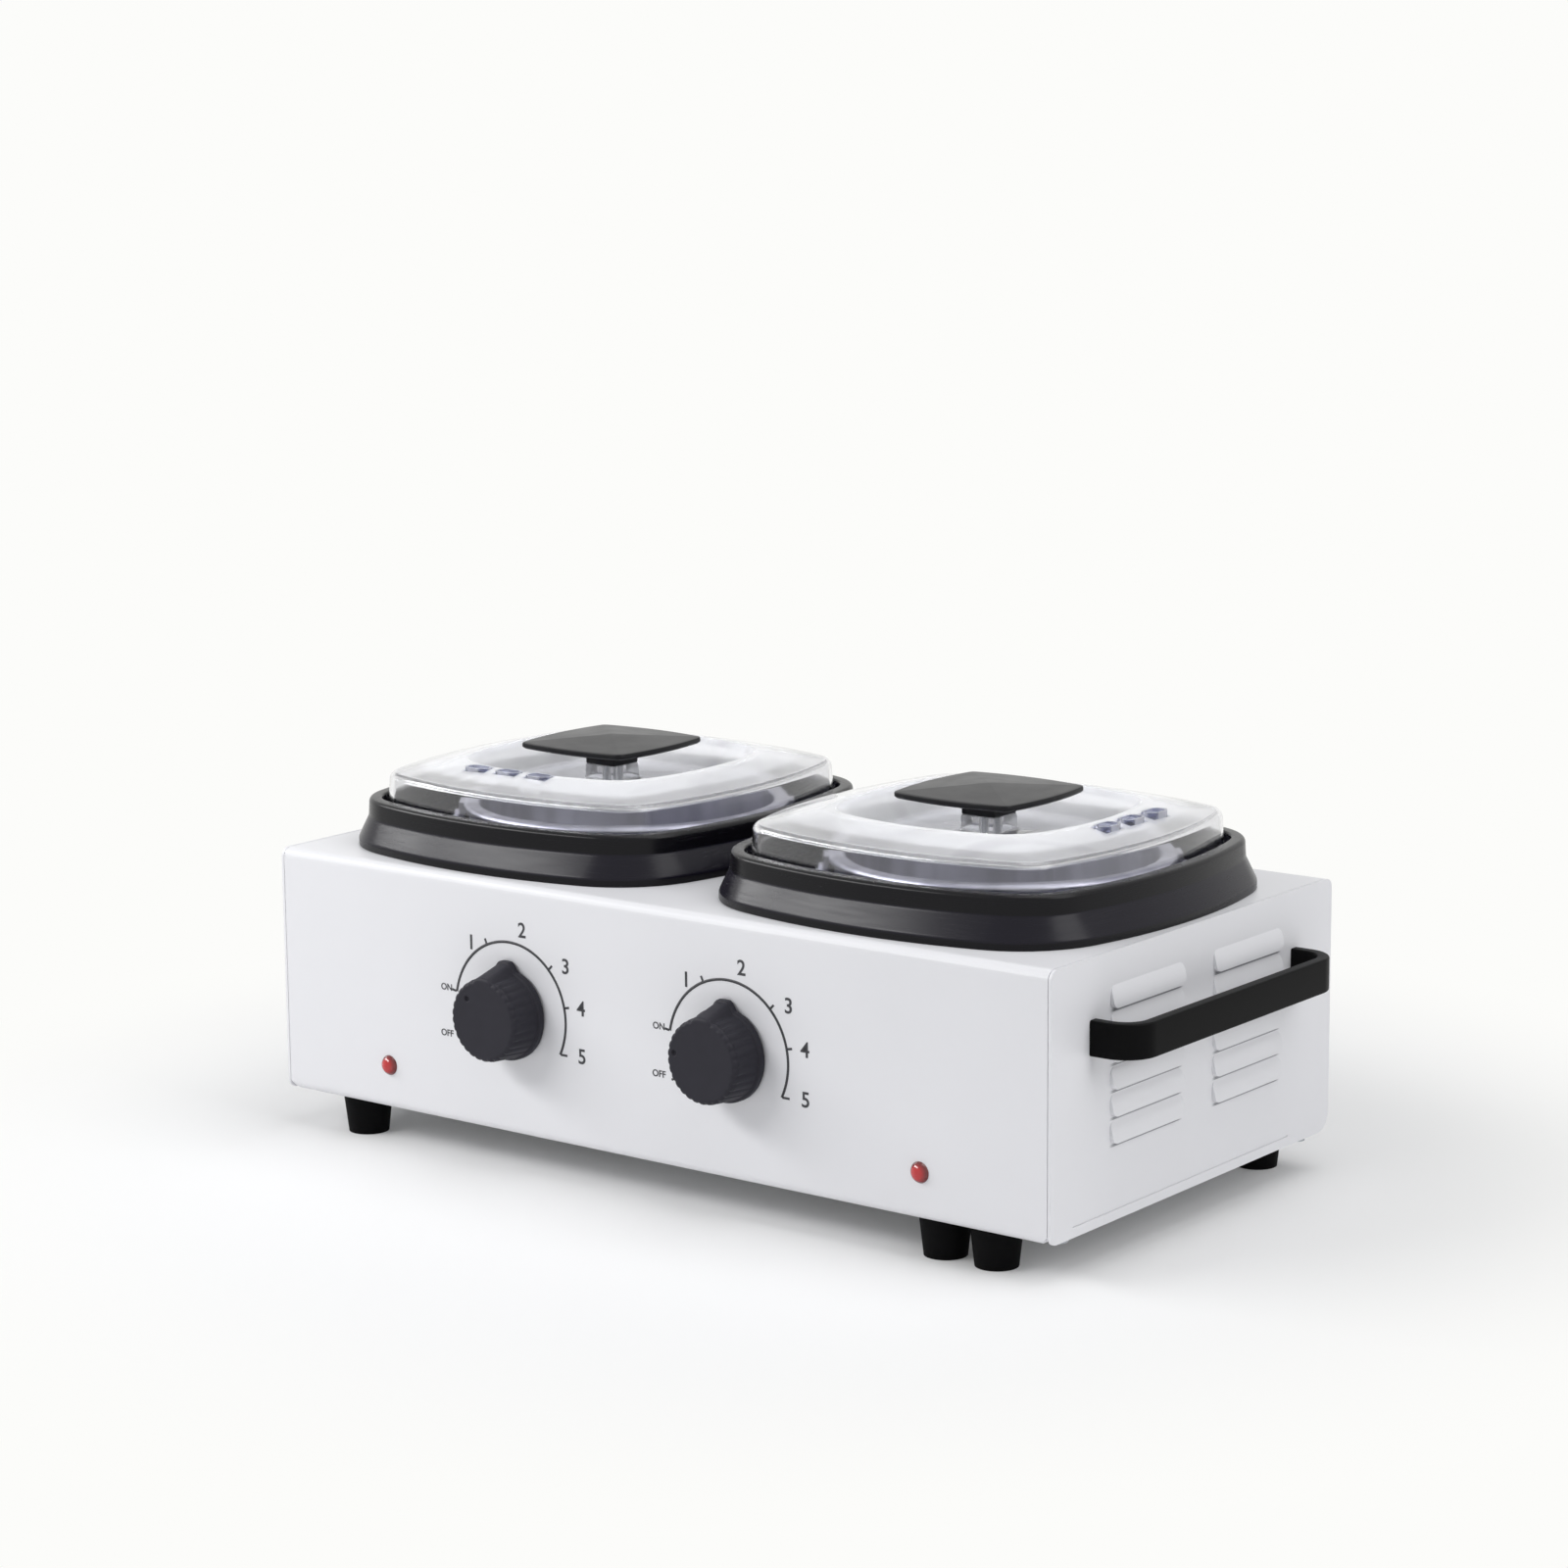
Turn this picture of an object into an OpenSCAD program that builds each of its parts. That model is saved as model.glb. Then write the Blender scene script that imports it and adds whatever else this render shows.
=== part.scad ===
// Double wax warmer: two heated pots side by side in one folded steel housing.
// X runs along the front, Y from front to back and Z up from the table.

/* [Housing] */
// Width of the housing over both side panels
body_w = 340; // [330:1:400]
// Depth of the housing from front to back
body_d = 176; // [172:1:210]
// Height of the housing without its feet
body_h = 91; // [88:1:110]
// Thickness of the folded sheet steel
sheet = 1; // [0.8:0.1:1.4]
// Outside radius of the sheet bends
bend_r = 3.5; // [2.5:0.5:6]
// Relief cut in the lower corners of the front, where the sheet folds under
corner_cut = 3.2; // [2:0.2:5]
// Outside radius of the lower rear bend
rear_bend_r = 7; // [4:0.5:9]
// Width of the flanges turned in under the housing
base_flange = 26; // [24:1:30]
// Gap left at each seam and each loose seat
seam = 0.3; // [0.2:0.05:0.5]

/* [Side panels] */
// Depth of the lip that each side panel turns into the housing
panel_lip = 8; // [6:1:12]
// Number of louvres in each column
louvre_rows = 6; // [3:1:6]
// Length of one louvre
louvre_w = 44; // [36:1:46]
// Height of one louvre hood
louvre_h = 7.6; // [6:0.2:8.4]
// Distance from one louvre to the next one up
louvre_pitch = 9.1; // [8.6:0.1:10]
// How far a louvre hood stands out of the panel
louvre_out = 1.6; // [1.4:0.1:3]
// Height of the lowest louvre's open edge over the housing's base
louvre_low = 26.5; // [22:0.5:28]
// Distance between the two louvre columns
louvre_gap = 19; // [14:1:24]

/* [Carry handles] */
// Length of a carry handle over its two legs
handle_l = 130.5; // [110:0.5:140]
// Reach of a carry handle out of the side panel
handle_reach = 18; // [16:0.5:28]
// Height of the handle strip
handle_h = 12; // [10:0.5:16]
// Thickness of the handle strip
handle_t = 4.3; // [3.5:0.1:6]
// Outside radius of the handle's corners
handle_r = 12; // [8:0.5:15]
// Height of the strip's middle over the housing's base
handle_z = 64.6; // [58:0.5:68]
// How far the handle sits in front of the panel's middle
handle_shift = 0.5; // [0:0.5:5]

/* [Stations] */
// Gap between the two collars
collar_gap = 5.4; // [5:0.2:12]
// Gap from a collar's foot to the end of the housing
collar_margin = 2.9; // [2.5:0.1:8]
// How far each well sits behind the middle of its collar
well_back = 8; // [0:0.5:8]

/* [Collars] */
// Radius of the bowed sides of a collar's foot
collar_side_r = 205; // [180:5:260]
// Radius of the corners of a collar's foot
collar_corner_r = 37.5; // [34:0.5:42]
// Height of the lip over the housing
collar_h = 17.4; // [15:0.2:20]
// How far the lip stands in from the foot
collar_draw = 4.8; // [3:0.2:6]
// Width of the lip
collar_lip = 5.5; // [5:0.1:6]
// Height of the straight band at the foot
collar_band = 2.2; // [1:0.1:3]
// Height of the flared part over the band
collar_flare = 9; // [7:0.1:10]
// Share of the flare's height that each of its soft ends takes
flare_soft = 0.12; // [0.05:0.01:0.4]
// Share by which the collar's corners tighten as it draws in
corner_draw = 1.8; // [1:0.1:2]
// Wall thickness of the collar moulding
collar_wall = 2.2; // [1.8:0.1:2.6]
// Height of the collar's inner floor over the housing
floor_h = 3; // [2.6:0.1:4]

/* [Wells] */
// Clearance between a pot and its well
well_gap = 1.2; // [0.8:0.1:2]
// Wall thickness of a heating well
well_wall = 1.2; // [1:0.1:1.6]
// Width of the mounting flange round a well
well_flange = 9; // [7:0.5:10]
// Height of the well's floor over the housing's base
well_z = 25; // [22:0.5:28]

/* [Pots] */
// Clearance between a pot's rim and the inside of its lid
rim_play = 1; // [0.6:0.1:6]
// Wall thickness of a pot
pot_wall = 1.2; // [1:0.1:1.6]
// Inside radius lost from the mouth to the floor
pot_taper = 1.6; // [0.5:0.1:3]
// Height of the rolled rim's crown over the housing
rim_z = 14; // [11:0.5:15]
// Width of the rolled rim
rim_w = 5.9; // [5:0.1:6.4]
// Height of the rolled rim
rim_h = 3; // [2.4:0.1:3.6]
// Angle that each pot is turned to in its well
pot_turn = 38; // [0:1:90]

/* [Pot bails] */
// Radial thickness of the bail strip
bail_t = 1.4; // [1:0.1:1.8]
// Height of the bail strip
bail_h = 3.6; // [3:0.1:4]
// Radius of the eye at each end of a bail
eye_r = 3.6; // [3:0.1:4]
// Radius of the rivet that a bail swings on
rivet_r = 1.2; // [1:0.1:1.6]
// Thickness of the ears that carry the rivets
ear_t = 1.4; // [1:0.1:1.8]

/* [Lids] */
// Play between a lid and the lip of its collar
lid_play = 1.1; // [0.6:0.1:2.5]
// Radius of the bowed sides of a lid
lid_side_r = 180; // [160:5:240]
// Radius of a lid's corners
lid_corner_r = 16; // [15:0.5:28]
// Wall thickness of a lid
lid_wall = 1.8; // [1.5:0.1:2.4]
// Height of a lid from its lower edge to its shoulder
lid_skirt = 23.5; // [20:0.5:26]
// How far the shoulder stands in from the lower edge
lid_draft = 1.4; // [0.8:0.1:2.5]
// Rise of the lid from its shoulder to the ring round the dish
lid_rise = 4; // [2:0.2:6]
// Half width of the ring round the dish
ring_half = 47; // [44:0.5:52]
// Depth of the dish under the ring
dish_depth = 9.6; // [7:0.2:10.4]
// Half width of the dish floor
dish_half = 37; // [32:0.5:39]
// Length of one steam vent
vent_l = 9; // [6:0.5:12]
// Width of one steam vent
vent_w = 5; // [3:0.5:6]
// Distance between neighbouring steam vents
vent_pitch = 14.6; // [13:0.2:18]
// Distance of the right lid's vents from the lid's middle, to the right
vent_side = 53.5; // [50:0.5:56]
// How far the right lid's row of vents is shifted to the back
vent_back_shift = 7; // [0:0.5:12]
// Distance of the left lid's vents from the lid's middle, to the front
vent_front = 49.5; // [46:0.5:54]
// How far the left lid's row of vents is shifted to the left
vent_left_shift = 7; // [0:0.5:12]

/* [Lid handles] */
// Side of the handle plate
plate_w = 52.8; // [40:0.2:56]
// Height of the handle plate's edge
plate_t = 3; // [2.4:0.1:4]
// Rise of the plate's low pyramid
plate_rise = 2; // [1:0.1:3]
// Height of the plate's edge over the lid's shoulder
plate_z = 6.4; // [5.8:0.1:9]
// Side of the square stem under the plate
stem_w = 14.4; // [10:0.2:18]
// Side of the clear boss that carries the stem
boss_w = 15; // [12:0.2:20]
// Height of the clear boss over the dish floor
boss_h = 6.4; // [4:0.2:7]

/* [Knobs] */
// Radius of a knob's skirt
skirt_r = 16.5; // [15.5:0.1:18]
// Radius of a knob's grip at the skirt
grip_r = 15.6; // [14.5:0.1:16]
// Radius of a knob's grip at its face
face_r = 14.8; // [13.5:0.1:15]
// Reach of a knob out of the front
knob_reach = 15; // [14:0.5:20]
// Thickness of a knob's skirt
skirt_t = 2.6; // [2:0.1:3]
// Number of flutes round the grip
flutes = 30; // [20:1:36]
// Depth of one flute
flute_depth = 0.5; // [0.3:0.1:0.7]
// Reach of the pointer past the skirt
pointer = 2.8; // [2:0.1:4]
// Position of the left knob along the front
knob_left_x = -59.2; // [-64:0.2:-52]
// Position of the right knob along the front
knob_right_x = 38.8; // [32:0.2:46]
// Height of the knobs over the housing's base
knob_z = 44.4; // [40:0.2:48]

/* [Indicator lamps] */
// Distance of each lamp from its end of the housing
lamp_inset = 51.5; // [30:0.5:65]
// Height of the lamps over the housing's base
lamp_z = 16.4; // [13:0.2:22]
// Radius of a lamp lens
lamp_r = 3.7; // [2.6:0.1:4.2]
// How far a lamp lens stands out of the front
lamp_dome = 2.3; // [1:0.1:3]

/* [Feet] */
// Height of a rubber foot
foot_h = 14; // [12:0.5:18]
// Radius of a foot at the housing
foot_r = 9; // [7:0.1:9.5]
// Radius of a foot at the table
foot_low_r = 7.4; // [5.5:0.1:8]
// Distance of the front feet from the ends of the housing
front_foot_inset = 29; // [25:1:45]
// Distance of the rear feet from the ends of the housing
rear_foot_inset = 22; // [21:1:45]
// Distance of the feet from the housing's middle from front to back
foot_y = 76; // [73.5:0.5:77]
// Distance from the front right foot to the fifth foot beside it
fifth_foot_step = 20.5; // [18:0.5:60]

/* [Cord gland] */
// Distance of the cord gland from the right end of the housing
gland_inset = 58; // [40:1:70]
// Height of the cord gland over the housing's base
gland_z = 20; // [17:1:30]
// Reach of the cord gland behind the housing
gland_reach = 6; // [4:0.5:10]
// Radius of the gland's bore
gland_bore = 3.6; // [3:0.1:4]

/* [Hidden] */
$fn = 96;

// Tiny overlap that joins two shapes of one solid
eps = 0.01;

// The housing stands on its feet and the part's box is centred on the origin
housing_y = (knob_reach - gland_reach) / 2;
half_w = body_w / 2;
half_d = body_d / 2;
lamp_x = half_w - lamp_inset;
front_foot_x = half_w - front_foot_inset;
rear_foot_x = half_w - rear_foot_inset;
gland_x = half_w - gland_inset;

// The collars share the top, the lids fit the collars and the pots fit the lids
collar_w = min(half_w - collar_margin - collar_gap / 2, body_d - 2 * collar_margin);
station_x = (collar_w + collar_gap) / 2;
lid_w = collar_w - 2 * (collar_draw + collar_lip + lid_play);
rim_r = lid_w / 2 - lid_wall - well_back - rim_play;
pot_r = rim_r - rim_w;

// Heights over the housing's base
top_z = body_h;
rim_top_z = top_z + rim_z;
well_top_z = rim_top_z - rim_h - seam;
floor_z = top_z + floor_h;

// Radii of the well and the bail
well_r = pot_r + pot_wall + well_gap;
well_out_r = well_r + well_wall;
floor_hole_r = well_out_r + 0.7;
bail_r = rim_r + ear_t + seam;

// The bail's strip lies on the collar's floor and its eyes reach higher
bail_z = floor_z + seam + bail_h / 2;
rivet_z = floor_z + seam + eye_r;

// The lid stands on the collar's floor
lid_z = floor_z + seam;
shoulder_z = lid_z + lid_skirt;
ring_z = shoulder_z + lid_rise;
dish_z = ring_z - dish_depth;

// The handle plate floats over the dish on its stem
plate_low_z = shoulder_z + plate_z;
boss_top_z = dish_z + boss_h;

// Standard machine screws
screw_r = 1.5;
screw_head_r = 2.8;
screw_head_h = 1.8;
pilot_r = screw_r + 0.05;
clear_r = screw_r + 0.3;
washer = 0.1;

// Places of the collar screws round a station
collar_screw_off = collar_w / 2 - 21;
// Places of the screws through the base flanges
panel_screw_x = half_w - sheet - panel_lip / 2;
base_screw_x = [-panel_screw_x, -90, 0, 90, panel_screw_x];
base_screw_y = half_d - base_flange / 2;

// Thermostat behind the front, with a threaded bush through the sheet
bush_r = 4.6;
bush_out = 5.5;
nut_r = 7.2;
nut_t = 2.6;
shaft_r = 3;
shaft_flat = 2.2;
shaft_out = 12.6;
shaft_fit = 0.05;
stat_w = 34;
stat_h = 38;
stat_d = 17;

// Band heater and glass wool sleeve round each well
band_t = 2;
wool_t = 5;
wool_low = well_z + 4;
wool_h = top_z - wool_low - 8;
band_low = wool_low + 8;
band_h = wool_h - 2 * (band_low - wool_low);

// Sensing bulb and its capillary
bulb_r = 2.6;
bulb_l = 56;
tube_r = 0.9;
clip_t = 0.8;

// Terminal block and earth stud at the back of the bottom plate
block_w = 30;
block_d = 18;
block_h = 15;
block_y = half_d - 28;
stud_r = 2;
stud_h = 12;
stud_x = block_w + 2;

// Lap of the back panel behind the folded shell
lap_z = body_h - 14;
lap_h = 10;
lap_screw_x = [for (i = [-3:2:3]) i * body_w / 8.5];

// Colours as the photograph shows them
white = "#e9e9ec";
black = "#26262a";
charcoal = "#3a3a40";
steel = "#b9bcc0";
aluminium = "#c9ccd1";
clear = [0.86, 0.88, 0.9, 0.45];
red = "#a81818";
rubber = "#1c1c1e";
brass = "#c9a24a";
mica = "#8f8a7c";
wool = "#d8d2c0";
bakelite = "#4a3428";

// Moves what is drawn from the housing's own base to its place on the feet
module seated() {
    translate([0, housing_y, foot_h])
        children();
}

// Repeats its children at the left and right station
module station(side) {
    translate([side * station_x, 0, 0])
        children();
}

// Points of an arc
function arc(cx, cy, r, from, to, n) =
    [for (i = [0:n]) let (a = from + (to - from) * i / n) [cx + r * cos(a), cy + r * sin(a)]];

// Section of the folded housing with its four bends
function housing_outline(inset) =
    let (r = bend_r - inset, b = rear_bend_r - inset, x = half_d - inset, z0 = inset, z1 = body_h - inset)
    concat(
        arc(-x + r, z0 + r, r, 180, 270, 6),
        arc(x - b, z0 + b, b, 270, 360, 8),
        arc(x - r, z1 - r, r, 0, 90, 6),
        arc(-x + r, z1 - r, r, 90, 180, 6)
    );

// Square with bowed sides and round corners, as three sizes set it
function bow_k(half, side_r, corner_r) =
    let (a = half - side_r, m = side_r - corner_r) (a + sqrt(2 * m * m - a * a)) / 2;
function bow_turn(half, side_r, corner_r) =
    let (k = bow_k(half, side_r, corner_r)) atan2(k, k - half + side_r);
function bowed_square(half, side_r, corner_r, side_n = 6, corner_n = 8) =
    let (k = bow_k(half, side_r, corner_r), t = bow_turn(half, side_r, corner_r), a = half - side_r)
    [for (q = [0:3], i = [0:side_n + corner_n - 1])
        let (
            on_side = i < side_n,
            f = on_side
                ? -t + 2 * t * i / side_n
                : t + (90 - 2 * t) * (i - side_n) / corner_n,
            px = on_side ? a + side_r * cos(f) : k + corner_r * cos(f),
            py = on_side ? side_r * sin(f) : k + corner_r * sin(f)
        )
        [px * cos(90 * q) - py * sin(90 * q), px * sin(90 * q) + py * cos(90 * q)]
    ];

// Ring of 3-D points at one height
function level(outline, z) = [for (p = outline) [p.x, p.y, z]];

// Closed solid through a list of rings, capped at both ends
module loft(rings) {
    n = len(rings[0]);
    m = len(rings);
    points = [for (r = rings, p = r) p];
    low_cap = [for (i = [0:n - 1]) i];
    high_cap = [for (i = [n - 1:-1:0]) (m - 1) * n + i];
    walls = [for (j = [0:m - 2], i = [0:n - 1], half = [0, 1])
        let (a = j * n + i, b = j * n + (i + 1) % n, c = a + n, d = b + n)
        half == 0 ? [a, c, b] : [b, c, d]];
    polyhedron(points, concat([low_cap], walls, [high_cap]), convexity = 6);
}

// Closed wall through a loop of rings, with a floor between rings cut - 1 and cut
module walled_tray(rings, cut) {
    n = len(rings[0]);
    m = len(rings);
    points = [for (r = rings, p = r) p];
    walls = [for (j = [0:m - 1], i = [0:n - 1], half = [0, 1])
        let (a = j * n + i, b = j * n + (i + 1) % n, c = (j + 1) % m * n + i, d = (j + 1) % m * n + (i + 1) % n)
        if (j != cut - 1) half == 0 ? [a, c, b] : [b, c, d]];
    top_cap = [for (i = [n - 1:-1:0]) (cut - 1) * n + i];
    under_cap = [for (i = [0:n - 1]) cut * n + i];
    polyhedron(points, concat(walls, [top_cap, under_cap]), convexity = 8);
}

// Screw that points up, with its head's underside at the origin
module screw_up(length) {
    cylinder(r = screw_r, h = length, $fn = 32);
    translate([0, 0, -screw_head_h])
        difference() {
            cylinder(r = screw_head_r, h = screw_head_h + eps, $fn = 32);
            for (a = [0, 90])
                rotate([0, 0, a])
                    translate([-screw_head_r * 0.6, -0.35, -1])
                        cube([screw_head_r * 1.2, 0.7, 1.9]);
        }
}

// Folded sheet that makes the front and the top, with a short lap down the back
module housing_shell() {
    wrap_w = body_w - 2 * (sheet + seam);
    color(white)
        seated()
            difference() {
                translate([-wrap_w / 2, 0, 0])
                    rotate([90, 0, 90])
                        linear_extrude(wrap_w)
                            difference() {
                                polygon(housing_outline(0));
                                polygon(housing_outline(sheet));
                                translate([-half_d + base_flange, -1])
                                    square([body_d, lap_z + 1]);
                            }
                for (side = [-1, 1])
                    station(side) {
                        translate([0, well_back, top_z - 2 * sheet])
                            cylinder(r = floor_hole_r, h = 4 * sheet);
                        for (sx = [-1, 1], sy = [-1, 1])
                            translate([sx * collar_screw_off, sy * collar_screw_off, top_z - 2 * sheet])
                                cylinder(r = clear_r, h = 4 * sheet, $fn = 32);
                    }
                for (x = [knob_left_x, knob_right_x])
                    translate([x, -half_d - 1, knob_z])
                        rotate([-90, 0, 0])
                            cylinder(r = bush_r + 0.2, h = sheet + 2);
                for (side = [-1, 1])
                    translate([side * lamp_x, -half_d - 1, lamp_z])
                        rotate([-90, 0, 0])
                            cylinder(r = lamp_r - 0.5, h = sheet + 2);
                for (x = lap_screw_x)
                    translate([x, half_d - 2 * sheet, lap_z + lap_h / 2])
                        rotate([-90, 0, 0])
                            cylinder(r = clear_r, h = 4 * sheet, $fn = 32);
                for (x = base_screw_x)
                    translate([x, -base_screw_y, -1])
                        cylinder(r = clear_r, h = sheet + 2, $fn = 32);
                for (p = foot_places())
                    translate([p.x, p.y, -1])
                        cylinder(r = clear_r, h = sheet + 2, $fn = 32);
                for (side = [-1, 1])
                    translate([side * wrap_w / 2, -half_d, 0])
                        rotate([0, 45, 0])
                            cube([corner_cut * sqrt(2), 3 * bend_r, corner_cut * sqrt(2)], center = true);
            }
}

// Back sheet with the lower rear bend, lapped inside the folded shell at its top
module back_panel() {
    wrap_w = body_w - 2 * (sheet + seam);
    tongue_w = wrap_w - 2 * panel_lip;
    inset = sheet + 0.15;
    color(white)
        seated()
            difference() {
                union() {
                    translate([-wrap_w / 2, 0, 0])
                        rotate([90, 0, 90])
                            linear_extrude(wrap_w)
                                difference() {
                                    polygon(housing_outline(0));
                                    polygon(housing_outline(sheet));
                                    translate([-half_d - 1, -1])
                                        square([body_d - base_flange + 1, body_h + 2]);
                                    translate([-half_d - 1, lap_z - seam])
                                        square([body_d + 2, body_h]);
                                }
                    translate([-tongue_w / 2, 0, 0])
                        rotate([90, 0, 90])
                            linear_extrude(tongue_w) {
                                translate([half_d - inset - sheet, lap_z - seam - 2])
                                    square([sheet, lap_h + 2]);
                                translate([half_d - inset - sheet, lap_z - seam - 2])
                                    square([inset + sheet / 2, sheet]);
                            }
                }
                for (x = lap_screw_x)
                    translate([x, half_d - 4 * sheet, lap_z + lap_h / 2])
                        rotate([-90, 0, 0])
                            cylinder(r = pilot_r, h = 4 * sheet, $fn = 32);
                translate([gland_x, half_d - sheet - 1, gland_z])
                    rotate([-90, 0, 0])
                        cylinder(r = gland_bore + 2.6, h = sheet + 2);
                for (x = base_screw_x)
                    translate([x, base_screw_y, -1])
                        cylinder(r = clear_r, h = sheet + 2, $fn = 32);
                for (p = foot_places())
                    translate([p.x, p.y, -1])
                        cylinder(r = clear_r, h = sheet + 2, $fn = 32);
            }
}

// Screws that hold the shell's lap to the back panel
module lap_screws() {
    color(steel)
        seated()
            for (x = lap_screw_x)
                translate([x, half_d + washer, lap_z + lap_h / 2])
                    rotate([90, 0, 0])
                        screw_up(5);
}

// Centres of the five feet on the housing's base
function foot_places() = [
    [-front_foot_x, -foot_y],
    [front_foot_x, -foot_y],
    [-rear_foot_x, foot_y],
    [rear_foot_x, foot_y],
    [front_foot_x - fifth_foot_step, -foot_y]
];

// Section of one louvre hood, from its top edge down to its open edge
function hood_section(out, height) =
    concat([for (i = [0:7]) let (u = i / 7) [out * sin(90 * u), height * (1 - u)]], [[0, 0]]);

// Pressed hood of one louvre, open along its lower edge, with its corners rounded
module louvre_hood() {
    skin = sheet * 0.8;
    end_r = louvre_h * 0.35;
    y = louvre_w / 2 - end_r;
    intersection() {
        union() {
            rotate([90, 0, 0])
                translate([0, 0, -louvre_w / 2])
                    linear_extrude(louvre_w)
                        difference() {
                            polygon(hood_section(louvre_out, louvre_h));
                            translate([-eps, -eps])
                                polygon(hood_section(louvre_out - skin, louvre_h - skin * 2));
                        }
            for (end = [-louvre_w / 2, louvre_w / 2 - 2 * skin])
                translate([0, end + 2 * skin, 0])
                    rotate([90, 0, 0])
                        linear_extrude(2 * skin)
                            polygon(hood_section(louvre_out, louvre_h));
        }
        translate([-1, 0, 0])
            rotate([90, 0, 90])
                linear_extrude(louvre_out + 2)
                    polygon(concat(
                        arc(-y, end_r, end_r, 180, 270, 5),
                        arc(y, end_r, end_r, 270, 360, 5),
                        arc(y, louvre_h - end_r, end_r, 0, 90, 5),
                        arc(-y, louvre_h - end_r, end_r, 90, 180, 5)
                    ));
    }
}

// Side panel with its louvres, drawn for the right-hand end
module side_panel() {
    column = (louvre_gap + louvre_w) / 2;
    fit = sheet + 0.15;
    difference() {
        union() {
            translate([half_w - sheet, 0, 0])
                rotate([90, 0, 90])
                    linear_extrude(sheet)
                        polygon(housing_outline(0));
            translate([half_w - sheet - panel_lip, 0, 0])
                rotate([90, 0, 90])
                    linear_extrude(panel_lip + eps)
                        difference() {
                            polygon(housing_outline(fit));
                            polygon(housing_outline(fit + sheet));
                        }
        }
        for (sy = [-1, 1], row = [0:louvre_rows - 1])
            translate([half_w - 2 * sheet, sy * column - louvre_w / 2 + 2 * sheet, louvre_low + row * louvre_pitch])
                cube([4 * sheet, louvre_w - 4 * sheet, louvre_h * 0.5]);
        for (y = handle_legs())
            translate([half_w - 2 * sheet, y, handle_z])
                rotate([0, 90, 0])
                    cylinder(r = clear_r, h = 4 * sheet, $fn = 32);
        for (sy = [-1, 1])
            translate([panel_screw_x, sy * base_screw_y, 0])
                cylinder(r = pilot_r, h = 3 * sheet, $fn = 32);
        translate([half_w - 0.4, -half_d + 13, 3.4])
            cube([1, body_d - 41, 0.6]);
    }
    for (sy = [-1, 1], row = [0:louvre_rows - 1])
        translate([half_w - eps, sy * column, louvre_low + row * louvre_pitch])
            louvre_hood();
}

module side_panel_right() {
    color(white)
        seated()
            side_panel();
}

module side_panel_left() {
    color(white)
        seated()
            mirror([1, 0, 0])
                side_panel();
}

// Base sheet with two fields of air slots, carried on the housing's flanges
module bottom_plate() {
    plate_w2 = body_w - 2 * (sheet + panel_lip + 2);
    plate_d = body_d - 2 * (sheet + rear_bend_r);
    slot_l = 34;
    slot_w = 4;
    color(steel)
        seated()
            difference() {
                translate([-plate_w2 / 2, -plate_d / 2, sheet])
                    cube([plate_w2, plate_d, sheet]);
                for (side = [-1, 1], i = [-4:4], j = [-1, 0, 1])
                    station(side)
                        translate([i * 11, j * 44, 0]) {
                            translate([-slot_w / 2, -slot_l / 2 + slot_w / 2, 0])
                                cube([slot_w, slot_l - slot_w, 4 * sheet]);
                            for (end = [-1, 1])
                                translate([0, end * (slot_l - slot_w) / 2, 0])
                                    cylinder(r = slot_w / 2, h = 4 * sheet, $fn = 24);
                        }
                for (x = base_screw_x, sy = [-1, 1])
                    translate([x, sy * base_screw_y, 0])
                        cylinder(r = pilot_r, h = 4 * sheet, $fn = 32);
                for (p = foot_places())
                    translate([p.x, p.y, 0])
                        cylinder(r = pilot_r, h = 4 * sheet, $fn = 32);
            }
}

// Screws through the base flanges into the bottom plate
module base_screws() {
    color(steel)
        seated()
            for (x = base_screw_x, sy = [-1, 1])
                translate([x, sy * base_screw_y, -washer])
                    screw_up(5);
}

// Tapered rubber foot with a recess for its screw
module foot(place) {
    head_seat = foot_h - 4;
    color(rubber)
        translate([place.x, place.y + housing_y, 0])
            difference() {
                cylinder(r1 = foot_low_r, r2 = foot_r, h = foot_h);
                translate([0, 0, -1])
                    cylinder(r = screw_head_r + 0.7, h = head_seat + 1, $fn = 48);
                cylinder(r = clear_r, h = foot_h + 1, $fn = 32);
            }
}

module foot_screws() {
    color(steel)
        for (p = foot_places())
            translate([p.x, p.y + housing_y, foot_h - 4 - washer])
                screw_up(9);
}

// Places of the two legs of a carry handle along the side panel
function handle_legs() = [
    -handle_shift - handle_l / 2 + handle_t / 2,
    -handle_shift + handle_l / 2 - handle_t / 2
];

// Bent strip seen from above, from the panel out to the bar
module handle_outline(inset) {
    reach = handle_reach - inset;
    l = handle_l - 2 * inset;
    r = handle_r - inset;
    polygon(concat(
        [[-eps, -l / 2]],
        arc(reach - r, -l / 2 + r, r, 270, 360, 12),
        arc(reach - r, l / 2 - r, r, 0, 90, 12),
        [[-eps, l / 2]]
    ));
}

// Carry handle drawn for the right-hand end
module carry_handle() {
    translate([half_w, -handle_shift, handle_z - handle_h / 2])
        difference() {
            linear_extrude(handle_h)
                difference() {
                    handle_outline(0);
                    translate([-1, 0])
                        handle_outline(handle_t);
                    translate([-handle_t, -handle_l])
                        square([handle_t, 2 * handle_l]);
                }
            for (side = [-1, 1])
                translate([-1, side * (handle_l - handle_t) / 2, handle_h / 2])
                    rotate([0, 90, 0])
                        cylinder(r = pilot_r, h = 8, $fn = 32);
        }
}

module carry_handle_right() {
    color(black)
        seated()
            carry_handle();
}

module carry_handle_left() {
    color(black)
        seated()
            mirror([1, 0, 0])
                carry_handle();
}

// Screws from inside each side panel into the handle legs
module carry_handle_screws() {
    color(steel)
        seated()
            for (side = [-1, 1], y = handle_legs())
                translate([side * (half_w - sheet - washer), y, handle_z])
                    rotate([0, side * 90, 0])
                        screw_up(7);
}

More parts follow.
